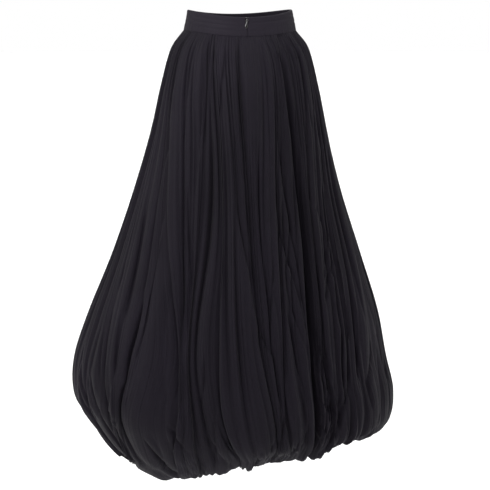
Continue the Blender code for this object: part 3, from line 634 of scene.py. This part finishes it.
# ---- pleats and folds

def at_waist(numbers):
    """Waist angles, in degrees, of places that are counted in pleats from the left seam."""
    return np.interp(2 * numbers, np.arange(len(PLEAT_LINES)), PLEAT_LINES)


def pleat_parts(numbers):
    """Which pleat each place is in, and how far across it, 0 to 1."""
    pleat = np.clip(np.floor(numbers).astype(int), 0, PLEAT_COUNT - 1)
    return pleat, numbers - pleat


def rise_to(crest, part):
    """1 on the crest, and falling to 0 at both borders."""
    return np.where(part < crest, part / crest, (1 - part) / (1 - crest))


def fold_places(table, ring):
    """Angles of the folds at a ring; below the tuck they fall straight, towards the sides."""
    here = smooth_row(table.T, min(ring / FOLD_RING_STEP, table.shape[1] - 1))
    if ring <= TUCK_RING:
        return here
    turn = np.radians(here)
    side = np.where(np.sin(turn) < 0, LEFT_REACH, RIGHT_REACH)
    lower = smooth_row(RING_TABLE, min(ring, FOLD_RING))
    straight = np.arcsin(np.clip(np.sin(turn) * RING_TABLE[TUCK_RING][side] / lower[side], -1, 1))
    straight = np.degrees(np.where(np.cos(turn) < 0, math.pi - straight, straight))
    return here + FALL_SHARE * (straight - here)


def flow(waist_angles, ring):
    """Where the cloth's grain lines, known by their waist angles, have come to at a ring."""
    here = fold_places(FOLD_ANGLES, ring)
    knots = np.concatenate([FOLD_ANGLES[:, 0], SEAM_ANGLES])
    values = np.concatenate([here, SEAM_ANGLES])
    order = np.argsort(knots)
    return np.radians(np.interp(waist_angles, knots[order], values[order]))


def zip_easing(points, ring):
    """Share of the folds' depth that is left beside the zip."""
    start, end = ZIP_FLAT_ENDS
    fade = min(max((end - ring) / (end - start), 0.0), 1.0)
    flat = ZIP_FLATTENING * fade * np.exp(-(points[:, 0] / ZIP_FLAT_HALF_WIDTH) ** 4)
    return np.where(points[:, 1] < 0, 1.0 - flat, 1.0)


def large_folds(angles, arc, ring):
    """Depth of the large folds at each point, and how far their banks lean over sideways."""
    centres = np.radians(fold_places(FOLD_ANGLES, ring))
    hip, calf, tuck = FOLD_DEPTHS.T
    profile = np.stack([0 * hip, hip, calf, tuck, HEM_SHARE * tuck])
    depths = np.array([np.interp(ring, FOLD_DEPTH_RINGS, column) for column in profile.T])
    away = (angles[:, None] - centres) * arc[:, None]
    steep = np.where(FOLD_LEAN == 0, 1.0, STEEP_BANK) * FOLD_WIDTHS
    slow = np.where(FOLD_LEAN == 0, 1.0, SLOW_BANK) * FOLD_WIDTHS
    width = np.where(away * FOLD_LEAN < 0, steep, slow)
    each = depths * np.exp(-np.abs(away / width) ** FOLD_CREASE)
    bank = np.exp(-((away + LEAN_PLACE * FOLD_LEAN * steep) / (LEAN_WIDTH * steep)) ** 2)
    lean = (FOLD_LEAN * OVERHANG * depths * bank).sum(axis=1)
    hollow_centres = np.radians(fold_places(HOLLOW_ANGLES, ring))
    hollow_away = (angles[:, None] - hollow_centres) * arc[:, None]
    share = np.interp(ring, HOLLOW_RINGS, HOLLOW_SHARES)
    hollow = (share * HOLLOW_DEPTHS * np.exp(-(hollow_away / HOLLOW_WIDTHS) ** 2)).sum(axis=1)
    return (each ** JOINING).sum(axis=1) ** (1 / JOINING) + hollow, lean


def crease_depth(angles, arc, ring):
    total = np.zeros(len(angles))
    for angle, start, to_angle, to_ring, depth, width in CREASES:
        along = (ring - start) / (to_ring - start)
        share = (along + CREASE_RUN_OUT) / (1 + 2 * CREASE_RUN_OUT)
        if not 0 < share < 1:
            continue
        taper = math.sin(math.pi * share) ** CREASE_TAPER
        centre = math.radians(angle + (to_angle - angle) * along)
        away = np.abs((angles - centre) * arc / (width * MM))
        total += depth * MM * taper * np.exp(-away ** CREASE_SHARPNESS)
    return total


def thin_folds(angles, arc, ring):
    """Depth of the long thin folds, and how far their steep banks lean over them."""
    depth, lean = np.zeros(len(angles)), np.zeros(len(angles))
    for angle, start, mid_angle, middle, end_angle, end, most, width, steep in LINES:
        reach = LINE_RUN_OUT * (end - start)
        if not start - reach < ring < end + reach:
            continue
        share = (ring - start + reach) / (end - start + 2 * reach)
        here = LINE_DEPTH * most * MM * math.sin(math.pi * share) ** LINE_TAPER
        centre = math.radians(np.interp(ring, (start, middle, end), (angle, mid_angle, end_angle)))
        away = (angles - centre) * arc / (width * MM)
        slope = np.where(away * steep < 0, away / LINE_STEEP, away)
        depth = np.maximum(depth, here * np.exp(-np.abs(slope) ** LINE_SHARPNESS))
        bank = (away + LINE_LEAN_PLACE * steep * LINE_STEEP) / (LINE_LEAN_WIDTH * LINE_STEEP)
        lean += LINE_OVERHANG * here * steep * np.exp(-bank ** 2)
    return depth, lean


def calm_share(angles, ring):
    """Share of the pleats' depth that the calm places leave."""
    share = np.ones(len(angles))
    for angle, middle, angle_reach, ring_reach, left in CALMS:
        away = ((np.degrees(angles) - angle) / angle_reach) ** 2 + ((ring - middle) / ring_reach) ** 2
        share *= 1 - (1 - left) * math.e ** -away
    return share


def pleat_profile(numbers, ring):
    """How far each pleat lies in from the form: least on its crest, sharp in its valleys."""
    pleat, part = pleat_parts(numbers)
    crest = PLEAT_CREST[pleat]
    valley = VALLEY_DEPTH * (VALLEY_MEAN + VALLEY_CHANGE * np.sin(VALLEY_PACE * ring + VALLEY_PHASE))
    side = np.where(part < crest, valley[pleat], valley[pleat + 1])
    sink = CREST_SINK[pleat] * np.minimum(valley[pleat], valley[pleat + 1])
    slope = 1 - np.sin(rise_to(crest, part) * math.pi / 2) ** PLEAT_ROUNDING
    return sink + (side - sink) * slope


def gather_depth(numbers, ring, pitch):
    """How far the gathers draw the cloth in, most at their borders."""
    row = np.clip(np.searchsorted(GATHERS[:, 0], numbers + TINY) - 1, 0, len(GATHERS) - 1)
    start, size, depth = GATHERS[row].T
    following = (row + 1) % len(GATHERS)
    across = np.clip((numbers - start) / size, 0, 1)
    waxing = GATHER_MEAN + GATHER_CHANGE * np.sin(GATHER_PACE * ring + GATHER_PHASE)
    crest = GATHER_CREST[row]
    border = np.where(across < crest, depth * waxing[row], GATHERS[following, 2] * waxing[following])
    most = np.minimum(smooth_row(GATHER_LIMITS, ring)[0], STEEPEST_GATHER * size * pitch)
    return most * border * (1 - np.sin(rise_to(crest, across) * math.pi / 2))


def crinkles(numbers, ring, pitch):
    """Depth of the small uneven folds where the hem's gathers turn under."""
    most = np.interp(ring, CRINKLE_RINGS, CRINKLE_DEPTHS) * MM
    most = np.minimum(most, STEEPEST_CRINKLE * pitch / CRINKLES_A_PLEAT)
    sway = CRINKLE_SWAY * slow_wave(SWAY_ACROSS * numbers, SWAY_DOWN * ring, CRINKLE_SWAY_SEED)
    across = CRINKLES_A_PLEAT * numbers + sway
    share = CRINKLE_MEAN + CRINKLE_CHANGE * slow_wave(CHANGE_ACROSS * numbers, ring, CRINKLE_SEED)
    crest = np.abs(np.sin(math.pi * across)) ** CRINKLE_ROUNDING
    return most * np.clip(share, LEAST_CRINKLE, 1.0) * (1 - crest)


def puff_drop(angles, numbers, ring):
    """How much lower the turned-under hem hangs at each point."""
    start, most, end = PUFF_RINGS
    if not start < ring < end:
        return np.zeros(len(angles))
    share = (ring - start) / (most - start) if ring < most else (end - ring) / (end - most)
    pleat, part = pleat_parts(numbers)
    drop = SCALLOP * SCALLOP_SHARE[pleat] * np.sin(math.pi * part)
    for angle, down, half_width in PUFFS:
        drop += down * MM * np.exp(-((np.degrees(angles) - angle) / half_width) ** 2)
    return math.sin(math.pi / 2 * share) ** 2 * drop


def cloth_row(numbers, ring, panel):
    """Points of the cloth's face along one row, at places that are counted in pleats."""
    first, last = panel
    clear_of_seams = np.clip(np.minimum(numbers - first, last - numbers), 0, 1)
    drift = GRAIN_DRIFT * slow_wave(numbers, ring, GRAIN_SEED) * clear_of_seams * min(ring, 1)
    waist_angles = at_waist(numbers) + drift
    angles = flow(waist_angles, ring)
    normals, along, arc = form_axes(angles, ring)
    squeeze = (flow(waist_angles + 1, ring) - flow(waist_angles - 1, ring)) / math.radians(2)
    pitch = arc * math.tau / PLEAT_COUNT * squeeze

    pleat_limit = np.interp(ring, PLEAT_RINGS, PLEAT_DEPTHS) * MM
    fine = np.minimum(pleat_limit, STEEPEST_PLEAT * pitch) * pleat_profile(numbers, ring)
    fine *= calm_share(angles, ring)
    gather = gather_depth(numbers, ring, pitch)
    large, lean = large_folds(angles, arc, ring)
    thin, thin_lean = thin_folds(angles, arc, ring)
    creases = crease_depth(angles, arc, ring) + thin + crinkles(numbers, ring, pitch)
    swell_limit = np.interp(ring, SWELL_RINGS, SWELL_DEPTHS) * MM
    swell = swell_limit * (0.5 + 0.5 * slow_wave(numbers, ring, SWELL_SEED))

    points = form_points(angles, ring)
    easing = zip_easing(points, ring)
    points = points - normals * ((fine + gather + large + creases + swell) * easing)[:, None]
    points = points + along * ((lean + thin_lean) * easing * clear_of_seams)[:, None]
    points[:, 2] -= puff_drop(angles, numbers, ring)
    return points


def even_columns(count, panel):
    """Pleat numbers that divide a panel into steps fairly even at its waist, calf and tuck."""
    fine = np.linspace(*panel, COLUMN_SAMPLES)
    spread = sum(flow(at_waist(fine), ring) for ring in EVEN_AT_RINGS)
    return np.interp(np.linspace(spread[0], spread[-1], count + 1), spread, fine)


def even_rings(count, panel):
    """Ring places that divide the cloth's length into even steps."""
    middle = np.radians([(SEAM_ANGLES[0] + 360 / PLEAT_COUNT * sum(panel) / 2) % 360])
    fine = np.linspace(0, LAST_RING, RING_SAMPLES)
    line = np.array([form_points(middle, ring)[0] for ring in fine])
    length = np.concatenate([[0], np.cumsum(np.linalg.norm(np.diff(line, axis=0), axis=1))])
    return np.interp(np.linspace(0, length[-1], count), length, fine)


# ---- making meshes

def add_object(name, data):
    made = bpy.data.objects.new(name, data)
    bpy.context.scene.collection.objects.link(made)
    return made


def grid_object(name, points, flat_size, closed=False):
    """A sheet through rows of points, with its flat place in metres as its UV map."""
    rows, across = points.shape[:2]
    spans = across if closed else across - 1
    row, column = np.meshgrid(np.arange(rows - 1), np.arange(spans), indexing="ij")
    far = (column + 1) % across
    faces = np.stack([row * across + column, (row + 1) * across + column,
                      (row + 1) * across + far, row * across + far], -1).reshape(-1, 4)
    mesh = bpy.data.meshes.new(name)
    mesh.from_pydata(points.reshape(-1, 3).tolist(), [], faces.tolist())
    uv = np.stack([np.stack([c, 1 - r], -1) for r, c in (
        (row, column), (row + 1, column), (row + 1, column + 1), (row, column + 1))], -2)
    uv = uv.reshape(-1, 2).astype(float)
    uv[:, 0] *= flat_size[0] / spans
    uv[:, 1] *= flat_size[1] / (rows - 1)
    layer = mesh.uv_layers.new(name="flat")
    layer.data.foreach_set("uv", uv.ravel())
    mesh.shade_smooth()
    return add_object(name, mesh)


def solidify(piece, offset=-1.0):
    shell = piece.modifiers.new("thickness", "SOLIDIFY")
    shell.thickness = SHELL
    shell.offset = offset


def close_ends(piece):
    """Welds the seam of a piece's section and fills its open ends."""
    builder = bmesh.new()
    builder.from_mesh(piece.data)
    bmesh.ops.remove_doubles(builder, verts=builder.verts, dist=TINY)
    open_edges = [edge for edge in builder.edges if edge.is_boundary]
    if open_edges:
        bmesh.ops.holes_fill(builder, edges=open_edges, sides=0)
    bmesh.ops.recalc_face_normals(builder, faces=builder.faces)
    builder.to_mesh(piece.data)
    builder.free()


def evaluated_mesh(piece):
    """The piece as a plain mesh, with its modifiers applied."""
    graph = bpy.context.evaluated_depsgraph_get()
    return bpy.data.meshes.new_from_object(piece.evaluated_get(graph))


def cover(piece, surface):
    piece.data.materials.clear()
    piece.data.materials.append(surface)


def put_on(piece, surface, body="skirt", node=None):
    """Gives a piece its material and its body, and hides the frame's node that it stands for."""
    cover(piece, surface)
    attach(piece, body)
    if node:
        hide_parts(node)
    return piece


def make_panel(row, surface):
    """One pleated panel, its top edge tucked behind the band and its sides turned in."""
    name, node, first, last, column_count, row_count, width, length, area = row
    panel = (first, last)
    numbers = even_columns(column_count, panel)
    rows = [cloth_row(numbers, ring, panel) for ring in even_rings(row_count, panel)]
    angles = flow(at_waist(numbers), 0)
    tuck = form_points(angles, 0) - form_axes(angles, 0)[0] * TUCK_INSET + (0, 0, TUCK_RISE)
    points = np.array([tuck] + rows)
    for edge, neighbour in ((0, 1), (-1, -2)):
        points[:, edge] -= unit(points[:, neighbour] - points[:, edge]) * SEAM_BITE / 2
    outwards = np.stack([np.sin(angles), -np.cos(angles), 0 * angles], -1)
    turned = [(points[:, edge] - outwards[edge] * SEAM_ALLOWANCE)[:, None] for edge in (0, -1)]
    points = np.concatenate([turned[0], points, turned[1]], axis=1)
    cloth = grid_object(name, points, (width, length))
    solidify(cloth)
    put_on(cloth, surface, node=node)


def rolled_edge(down, height):
    """How far a face of the waistband draws in near its upper and lower edge."""
    roll = BAND_ROLL[0] if down < 0.5 else BAND_ROLL[1]
    near_edge = min(down, 1 - down) * height
    return roll * (1 - math.sqrt(1 - (1 - near_edge / roll) ** 2)) if near_edge < roll else 0


def band_relief(turn, down):
    """Depth of the band's soft swells, tucks and puckers at angles in degrees."""
    soft = BAND_SWELL * sum(np.sin(turn / wide + slant * down) for wide, slant in BAND_SWELL_WAVES)
    puckers = BAND_PUCKER * down ** 4 * sum(np.sin(pace * turn + phase)
                                            for pace, phase in BAND_PUCKER_WAVES)
    tucks = sum(depth * MM * math.e ** -((down - place) / BAND_TUCK_WIDTH) ** 2
                * np.exp(-(((turn - angle + 180) % 360 - 180) / reach) ** 2)
                for place, depth, angle, reach in BAND_TUCKS)
    return soft * math.sin(math.pi * down) + puckers + tucks


def make_waistband(surface):
    """One shaped strip, both faces and its rolled edges in a single closed section."""
    downs = np.linspace(0, 1, BAND_ROWS + 1)
    section = [(0.0, down) for down in downs] + [(BAND_WALL, down) for down in downs[::-1]]
    height = BAND_TABLE[0][0] - BAND_TABLE[1][0]
    rows = []
    for inset, down in section:
        row = BAND_TABLE[0] + (BAND_TABLE[1] - BAND_TABLE[0]) * down
        half_slot = np.interp(down, ZIP_SLOT_PLACES, ZIP_SLOT_WIDTHS) * MM / 2
        edge = math.asin(half_slot / row[RIGHT_REACH])
        angles = np.linspace(edge, math.tau - edge, BAND_COLUMNS + 1)
        rolled = rolled_edge(down, height)
        depth = inset + (rolled if inset == 0 else -rolled) + band_relief(np.degrees(angles), down)
        rows.append(ring_points(angles, row) - level_axes(angles, row) * depth[:, None])
    rows.append(rows[0])
    band = grid_object("waistband_cloth", np.array(rows), (BAND_FLAT[0], 2 * BAND_FLAT[1]))
    close_ends(band)
    return put_on(band, surface, node="waistband")


def make_hem_band(surface):
    """Narrow upright strip inside the hem, all the way round."""
    angles = np.linspace(0, math.tau, HEM_BAND_COLUMNS, endpoint=False)
    row = RING_TABLE[LAST_RING]
    bottom = ring_points(angles, row) + (0, 0, HEM_BAND_GAP)
    outwards = level_axes(angles, row)
    rows = []
    for up in np.linspace(0, 1, HEM_BAND_ROWS + 1):
        wave = HEM_BAND_WAVE * np.sin(HEM_BAND_WAVES * angles) * (1 - up) + HEM_BAND_WALL / 2
        rows.append(bottom + (0, 0, HEM_BAND_HEIGHT * up) + outwards * wave[:, None])
    band = grid_object("hem_band_cloth", np.array(rows), HEM_BAND_FLAT, closed=True)
    solidify(band, offset=0.0)
    return put_on(band, surface, node="hem_band")


# ---- zip

def band_frame(below_top, stand_off):
    """Axes on the centre back's face, tilted with it; local -Y points outwards."""
    top, bottom = (Vector(ring_points(np.array([0.0]), row)[0]) for row in BAND_TABLE)
    down = (bottom - top).normalized()
    turn = Matrix.Rotation(-math.atan2(-down.y, -down.z), 4, "X")
    centre = top + down * below_top + turn @ Vector((0, -stand_off, 0))
    return Matrix.Translation(centre) @ turn


def smooth_loop(points, steps):
    """A smooth closed curve through a loop's corners."""
    corners = np.array(points)
    loop = []
    for number in range(len(corners)):
        four = [corners[(number + k) % len(corners)] for k in (-1, 0, 1, 2)]
        loop += [between(*four, step / steps) for step in range(steps)]
    return loop


def pull_blank():
    """The pull's flat outline and eye, as a plate with round edges."""
    side = [(half * MM, height * MM) for height, half in PULL_OUTLINE]
    outline = smooth_loop(side + [(-x, z) for x, z in reversed(side)], PULL_OUTLINE_STEPS)
    eye = [(PULL_EYE_HALF_WIDTH * math.cos(turn),
            PULL_EYE_CENTRE + PULL_EYE_HALF_HEIGHT * math.sin(turn))
           for turn in np.linspace(0, math.tau, PULL_EYE_STEPS, endpoint=False)]
    data = bpy.data.curves.new("pull_outline", "CURVE")
    data.dimensions = "2D"
    data.fill_mode = "BOTH"
    data.extrude = PULL_THICKNESS / 2 - PULL_BEVEL
    data.bevel_depth = PULL_BEVEL
    data.bevel_resolution = 2
    data.offset = -PULL_BEVEL
    for loop in (outline, eye):
        spline = data.splines.new("POLY")
        spline.points.add(len(loop) - 1)
        for target, (x, y) in zip(spline.points, loop):
            target.co = (x, y, 0.0, 1.0)
        spline.use_cyclic_u = True
    flat = add_object("pull_outline", data)
    mesh = evaluated_mesh(flat)
    bpy.data.objects.remove(flat, do_unlink=True)
    return mesh


def make_pull(surface):
    """Drop-shaped pull with an eye, crowned across its width."""
    pull = add_object("pull_tab", pull_blank())
    close_ends(pull)
    rounder = pull.modifiers.new("small_faces", "REMESH")
    rounder.voxel_size = PULL_GRAIN
    pull.data = evaluated_mesh(pull)
    pull.modifiers.clear()
    halves, heights = np.array(PULL_OUTLINE)[::-1, ::-1].T * MM
    for vertex in pull.data.vertices:
        side = abs(vertex.co.x) / np.interp(vertex.co.y, heights, halves)
        crown = math.sqrt(max(1 - side ** 2, 0))
        vertex.co.z *= PULL_EDGE_SHARE + (1 - PULL_EDGE_SHARE) * crown
    upright = Matrix.Rotation(PULL_LEAN, 4, "Y") @ Matrix.Rotation(math.radians(90), 4, "X")
    pull.data.transform(band_frame(SLIDER_BELOW_TOP, PULL_STAND_OFF) @ upright)
    pull.data.shade_smooth()
    return put_on(pull, surface, body="zip_pull", node="zip_pull")


def make_chain(surface):
    """The zip's closed teeth, which show in the slot below the slider."""
    start, end = CHAIN_BELOW_TOP
    builder = bmesh.new()
    for number in range(int((end - start) / CHAIN_PITCH)):
        lean = CHAIN_LEAN if number % 2 else -CHAIN_LEAN
        tooth = Matrix.Translation((lean, 0, 0)) @ Matrix.Diagonal((*CHAIN_TOOTH, 1))
        place = band_frame(start + CHAIN_PITCH * number, -CHAIN_INSET)
        bmesh.ops.create_cube(builder, size=1.0, matrix=place @ tooth)
    mesh = bpy.data.meshes.new("zip_teeth")
    builder.to_mesh(mesh)
    builder.free()
    return put_on(add_object("zip_teeth", mesh), surface)


# ---- materials

def fill(node, **values):
    """Sets a node's sockets; an underscore stands for a space in their names."""
    for socket, value in values.items():
        node.inputs[socket.replace("_", " ")].default_value = value


class Shader:
    """A Principled material and the nodes that feed it."""

    def __init__(self, name, roughness, metallic=0.0, sheen=0.0):
        self.material = bpy.data.materials.new(name)
        self.material.use_nodes = True
        self.tree = self.material.node_tree
        self.surface = self.tree.nodes["Principled BSDF"]
        fill(self.surface, Roughness=roughness, Metallic=metallic,
             Sheen_Weight=sheen, Sheen_Roughness=SHEEN_ROUGHNESS)

    def node(self, kind, **values):
        made = self.tree.nodes.new("ShaderNode" + kind)
        for key, value in values.items():
            if key in made.inputs:
                made.inputs[key].default_value = value
            else:
                setattr(made, key, value)
        return made

    def link(self, start, socket, end, target):
        self.tree.links.new(start.outputs[socket], end.inputs[target])

    def texture(self, kind, source, scale, **values):
        """A texture node on the source's coordinates, scaled."""
        place = self.node("TexCoord")
        mapping = self.node("Mapping", Scale=scale)
        made = self.node(kind, **values)
        self.link(place, source, mapping, "Vector")
        self.link(mapping, "Vector", made, "Vector")
        return made

    def combined(self, operation, first, second):
        made = self.node("Math", operation=operation)
        self.link(first, "Fac", made, 0)
        self.link(second, "Fac", made, 1)
        return made

    def colour(self, source, socket, dark, light, places=(0.0, 1.0)):
        """Base colour that goes from dark to light with what a node gives."""
        ramp = self.node("ValToRGB")
        for stop, place, tone in zip(ramp.color_ramp.elements, places, (dark, light)):
            stop.position = place
            stop.color = (*tone, 1)
        self.link(source, socket, ramp, "Fac")
        self.link(ramp, "Color", self.surface, "Base Color")

    def bump(self, source, socket, strength, distance, below=None):
        made = self.node("Bump", Strength=strength, Distance=distance)
        self.link(source, socket, made, "Height")
        if below:
            self.link(below, "Normal", made, "Normal")
        return made


def cloth_material(name):
    """Matt woven cloth: threads both ways, slubs along them and slow changes of shade."""
    dark, light, roughness, sheen, *sizes = CLOTHS[name]
    thread, grain, groove = (size * MM for size in sizes)
    made = Shader(name, roughness, sheen=sheen)
    fill(made.surface, Specular_IOR_Level=CLOTH_SPECULAR)
    slow = made.texture("TexNoise", "Object", (1, 1, 0.35),
                        Scale=5.0, Detail=4.0, Roughness=0.6)
    slub = made.texture("TexNoise", "UV", (1 / thread, SLUB_STRETCH / thread, 1),
                        Scale=1.0, Detail=2.0, Roughness=0.5)
    made.colour(made.combined("MULTIPLY", slow, slub), "Value", dark, light, SHADE_ENDS)
    waves = [made.texture("TexWave", "UV", (THREAD_WAVES / thread, THREAD_WAVES / thread, 1),
                          wave_type="BANDS", bands_direction=axis,
                          Scale=1.0, Distortion=1.5, Detail=1.0) for axis in ("X", "Y")]
    threads = made.bump(made.combined("ADD", *waves), "Value", strength=0.25, distance=THREAD_RELIEF)
    long_grain = made.texture("TexNoise", "UV", (1 / grain, GRAIN_STRETCH / grain, 1),
                              Scale=1.0, Detail=3.0, Roughness=0.6)
    grooves = made.bump(long_grain, "Fac", strength=1.0, distance=groove, below=threads)
    made.link(grooves, "Normal", made.surface, "Normal")
    return made.material


def metal_material(name):
    """Metal with fine wear and a slight unevenness of gloss."""
    colour, roughness, metallic = METALS[name]
    made = Shader(name, roughness, metallic)
    grain = made.texture("TexNoise", "Object", (1, 1, 0.2), Scale=900.0, Detail=3.0)
    made.colour(grain, "Fac", [WORN_SHADE * part for part in colour], colour)
    gloss = made.node("MapRange")
    fill(gloss, To_Min=roughness * WORN_GLOSS[0], To_Max=roughness * WORN_GLOSS[1])
    made.link(grain, "Fac", gloss, "Value")
    made.link(gloss, "Result", made.surface, "Roughness")
    wear = made.bump(grain, "Fac", strength=0.1, distance=WEAR_RELIEF)
    made.link(wear, "Normal", made.surface, "Normal")
    return made.material


def floor_material():
    made = Shader("pale_floor", roughness=0.9)
    made.colour(made.node("TexNoise", Scale=1.5, Detail=2.0), "Fac", *FLOOR_TONES)
    fill(made.surface, Emission_Color=WHITE, Emission_Strength=FLOOR_GLOW)
    return made.material


# ---- stage, light, camera

def make_stage():
    """The floor, and a world that lights evenly and shows white to the camera."""
    bpy.ops.mesh.primitive_circle_add(vertices=FLOOR_SIDES, radius=FLOOR_RADIUS, fill_type="NGON",
                                      location=(0, 0, FLOOR_HEIGHT))
    floor = bpy.context.object
    floor.name = "floor"
    floor.data.materials.append(floor_material())
    world = bpy.data.worlds.new("studio")
    world.use_nodes = True
    tree = world.node_tree
    sky = tree.nodes["Background"]
    fill(sky, Color=WHITE)
    path = tree.nodes.new("ShaderNodeLightPath")
    strength = tree.nodes.new("ShaderNodeMapRange")
    fill(strength, To_Min=SURROUND, To_Max=BACKDROP)
    tree.links.new(path.outputs["Is Camera Ray"], strength.inputs["Value"])
    tree.links.new(strength.outputs["Result"], sky.inputs["Strength"])
    bpy.context.scene.world = world
    bpy.context.scene.view_settings.view_transform = "Standard"


def seen_from_back(azimuth, elevation):
    """Direction away from the skirt, by angles in radians from straight behind it."""
    return Vector((math.sin(azimuth) * math.cos(elevation),
                   -math.cos(azimuth) * math.cos(elevation), math.sin(elevation)))


def make_lights():
    """A soft box near the waist and far, broad lamps all round."""
    box = bpy.data.lights.new("soft_box", "AREA")
    box.size = SOFT_BOX_WIDTH
    box.energy = SOFT_BOX_POWER
    lamp = add_object("soft_box", box)
    lamp.location = SOFT_BOX_PLACE
    towards = Vector(SOFT_BOX_AIM) - Vector(SOFT_BOX_PLACE)
    lamp.rotation_euler = towards.to_track_quat("-Z", "Y").to_euler()
    for name, azimuth, elevation, strength, softness in LIGHTS:
        sun = bpy.data.lights.new(name, "SUN")
        sun.energy = strength
        sun.angle = math.radians(softness)
        away = seen_from_back(math.radians(azimuth), math.radians(elevation))
        add_object(name, sun).rotation_euler = away.to_track_quat("Z", "Y").to_euler()


def make_camera():
    data = bpy.data.cameras.new("camera")
    data.lens = CAMERA_LENS
    data.sensor_width = CAMERA_SENSOR
    camera = add_object("camera", data)
    place = seen_from_back(CAMERA_AZIMUTH, 0.0) * CAMERA_DISTANCE
    place.z = CAMERA_HEIGHT
    camera.location = place
    camera.rotation_euler = (Vector(CAMERA_TARGET) - place).to_track_quat("-Z", "Y").to_euler()
    bpy.context.scene.camera = camera


def main():
    cloth = cloth_material("pleated_cloth")
    # The band's cloth: the pleats' fabric with painted light, lighter than the pleated cloth.
    band_cloth_painted_light = cloth_material("band_cloth_painted_light")
    tape_cloth = cloth_material("tape_cloth")
    for row in PANELS:
        make_panel(row, cloth)
    band = make_waistband(band_cloth_painted_light)
    hem_band = make_hem_band(band_cloth_painted_light)
    for side in ("left", "right"):
        cover(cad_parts["zip_tape_" + side], tape_cloth)
    cover(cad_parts["zip_slider"], metal_material("black_metal"))
    make_pull(metal_material("bright_metal"))
    make_chain(tape_cloth)
    make_stage()
    make_lights()
    make_camera()


main()
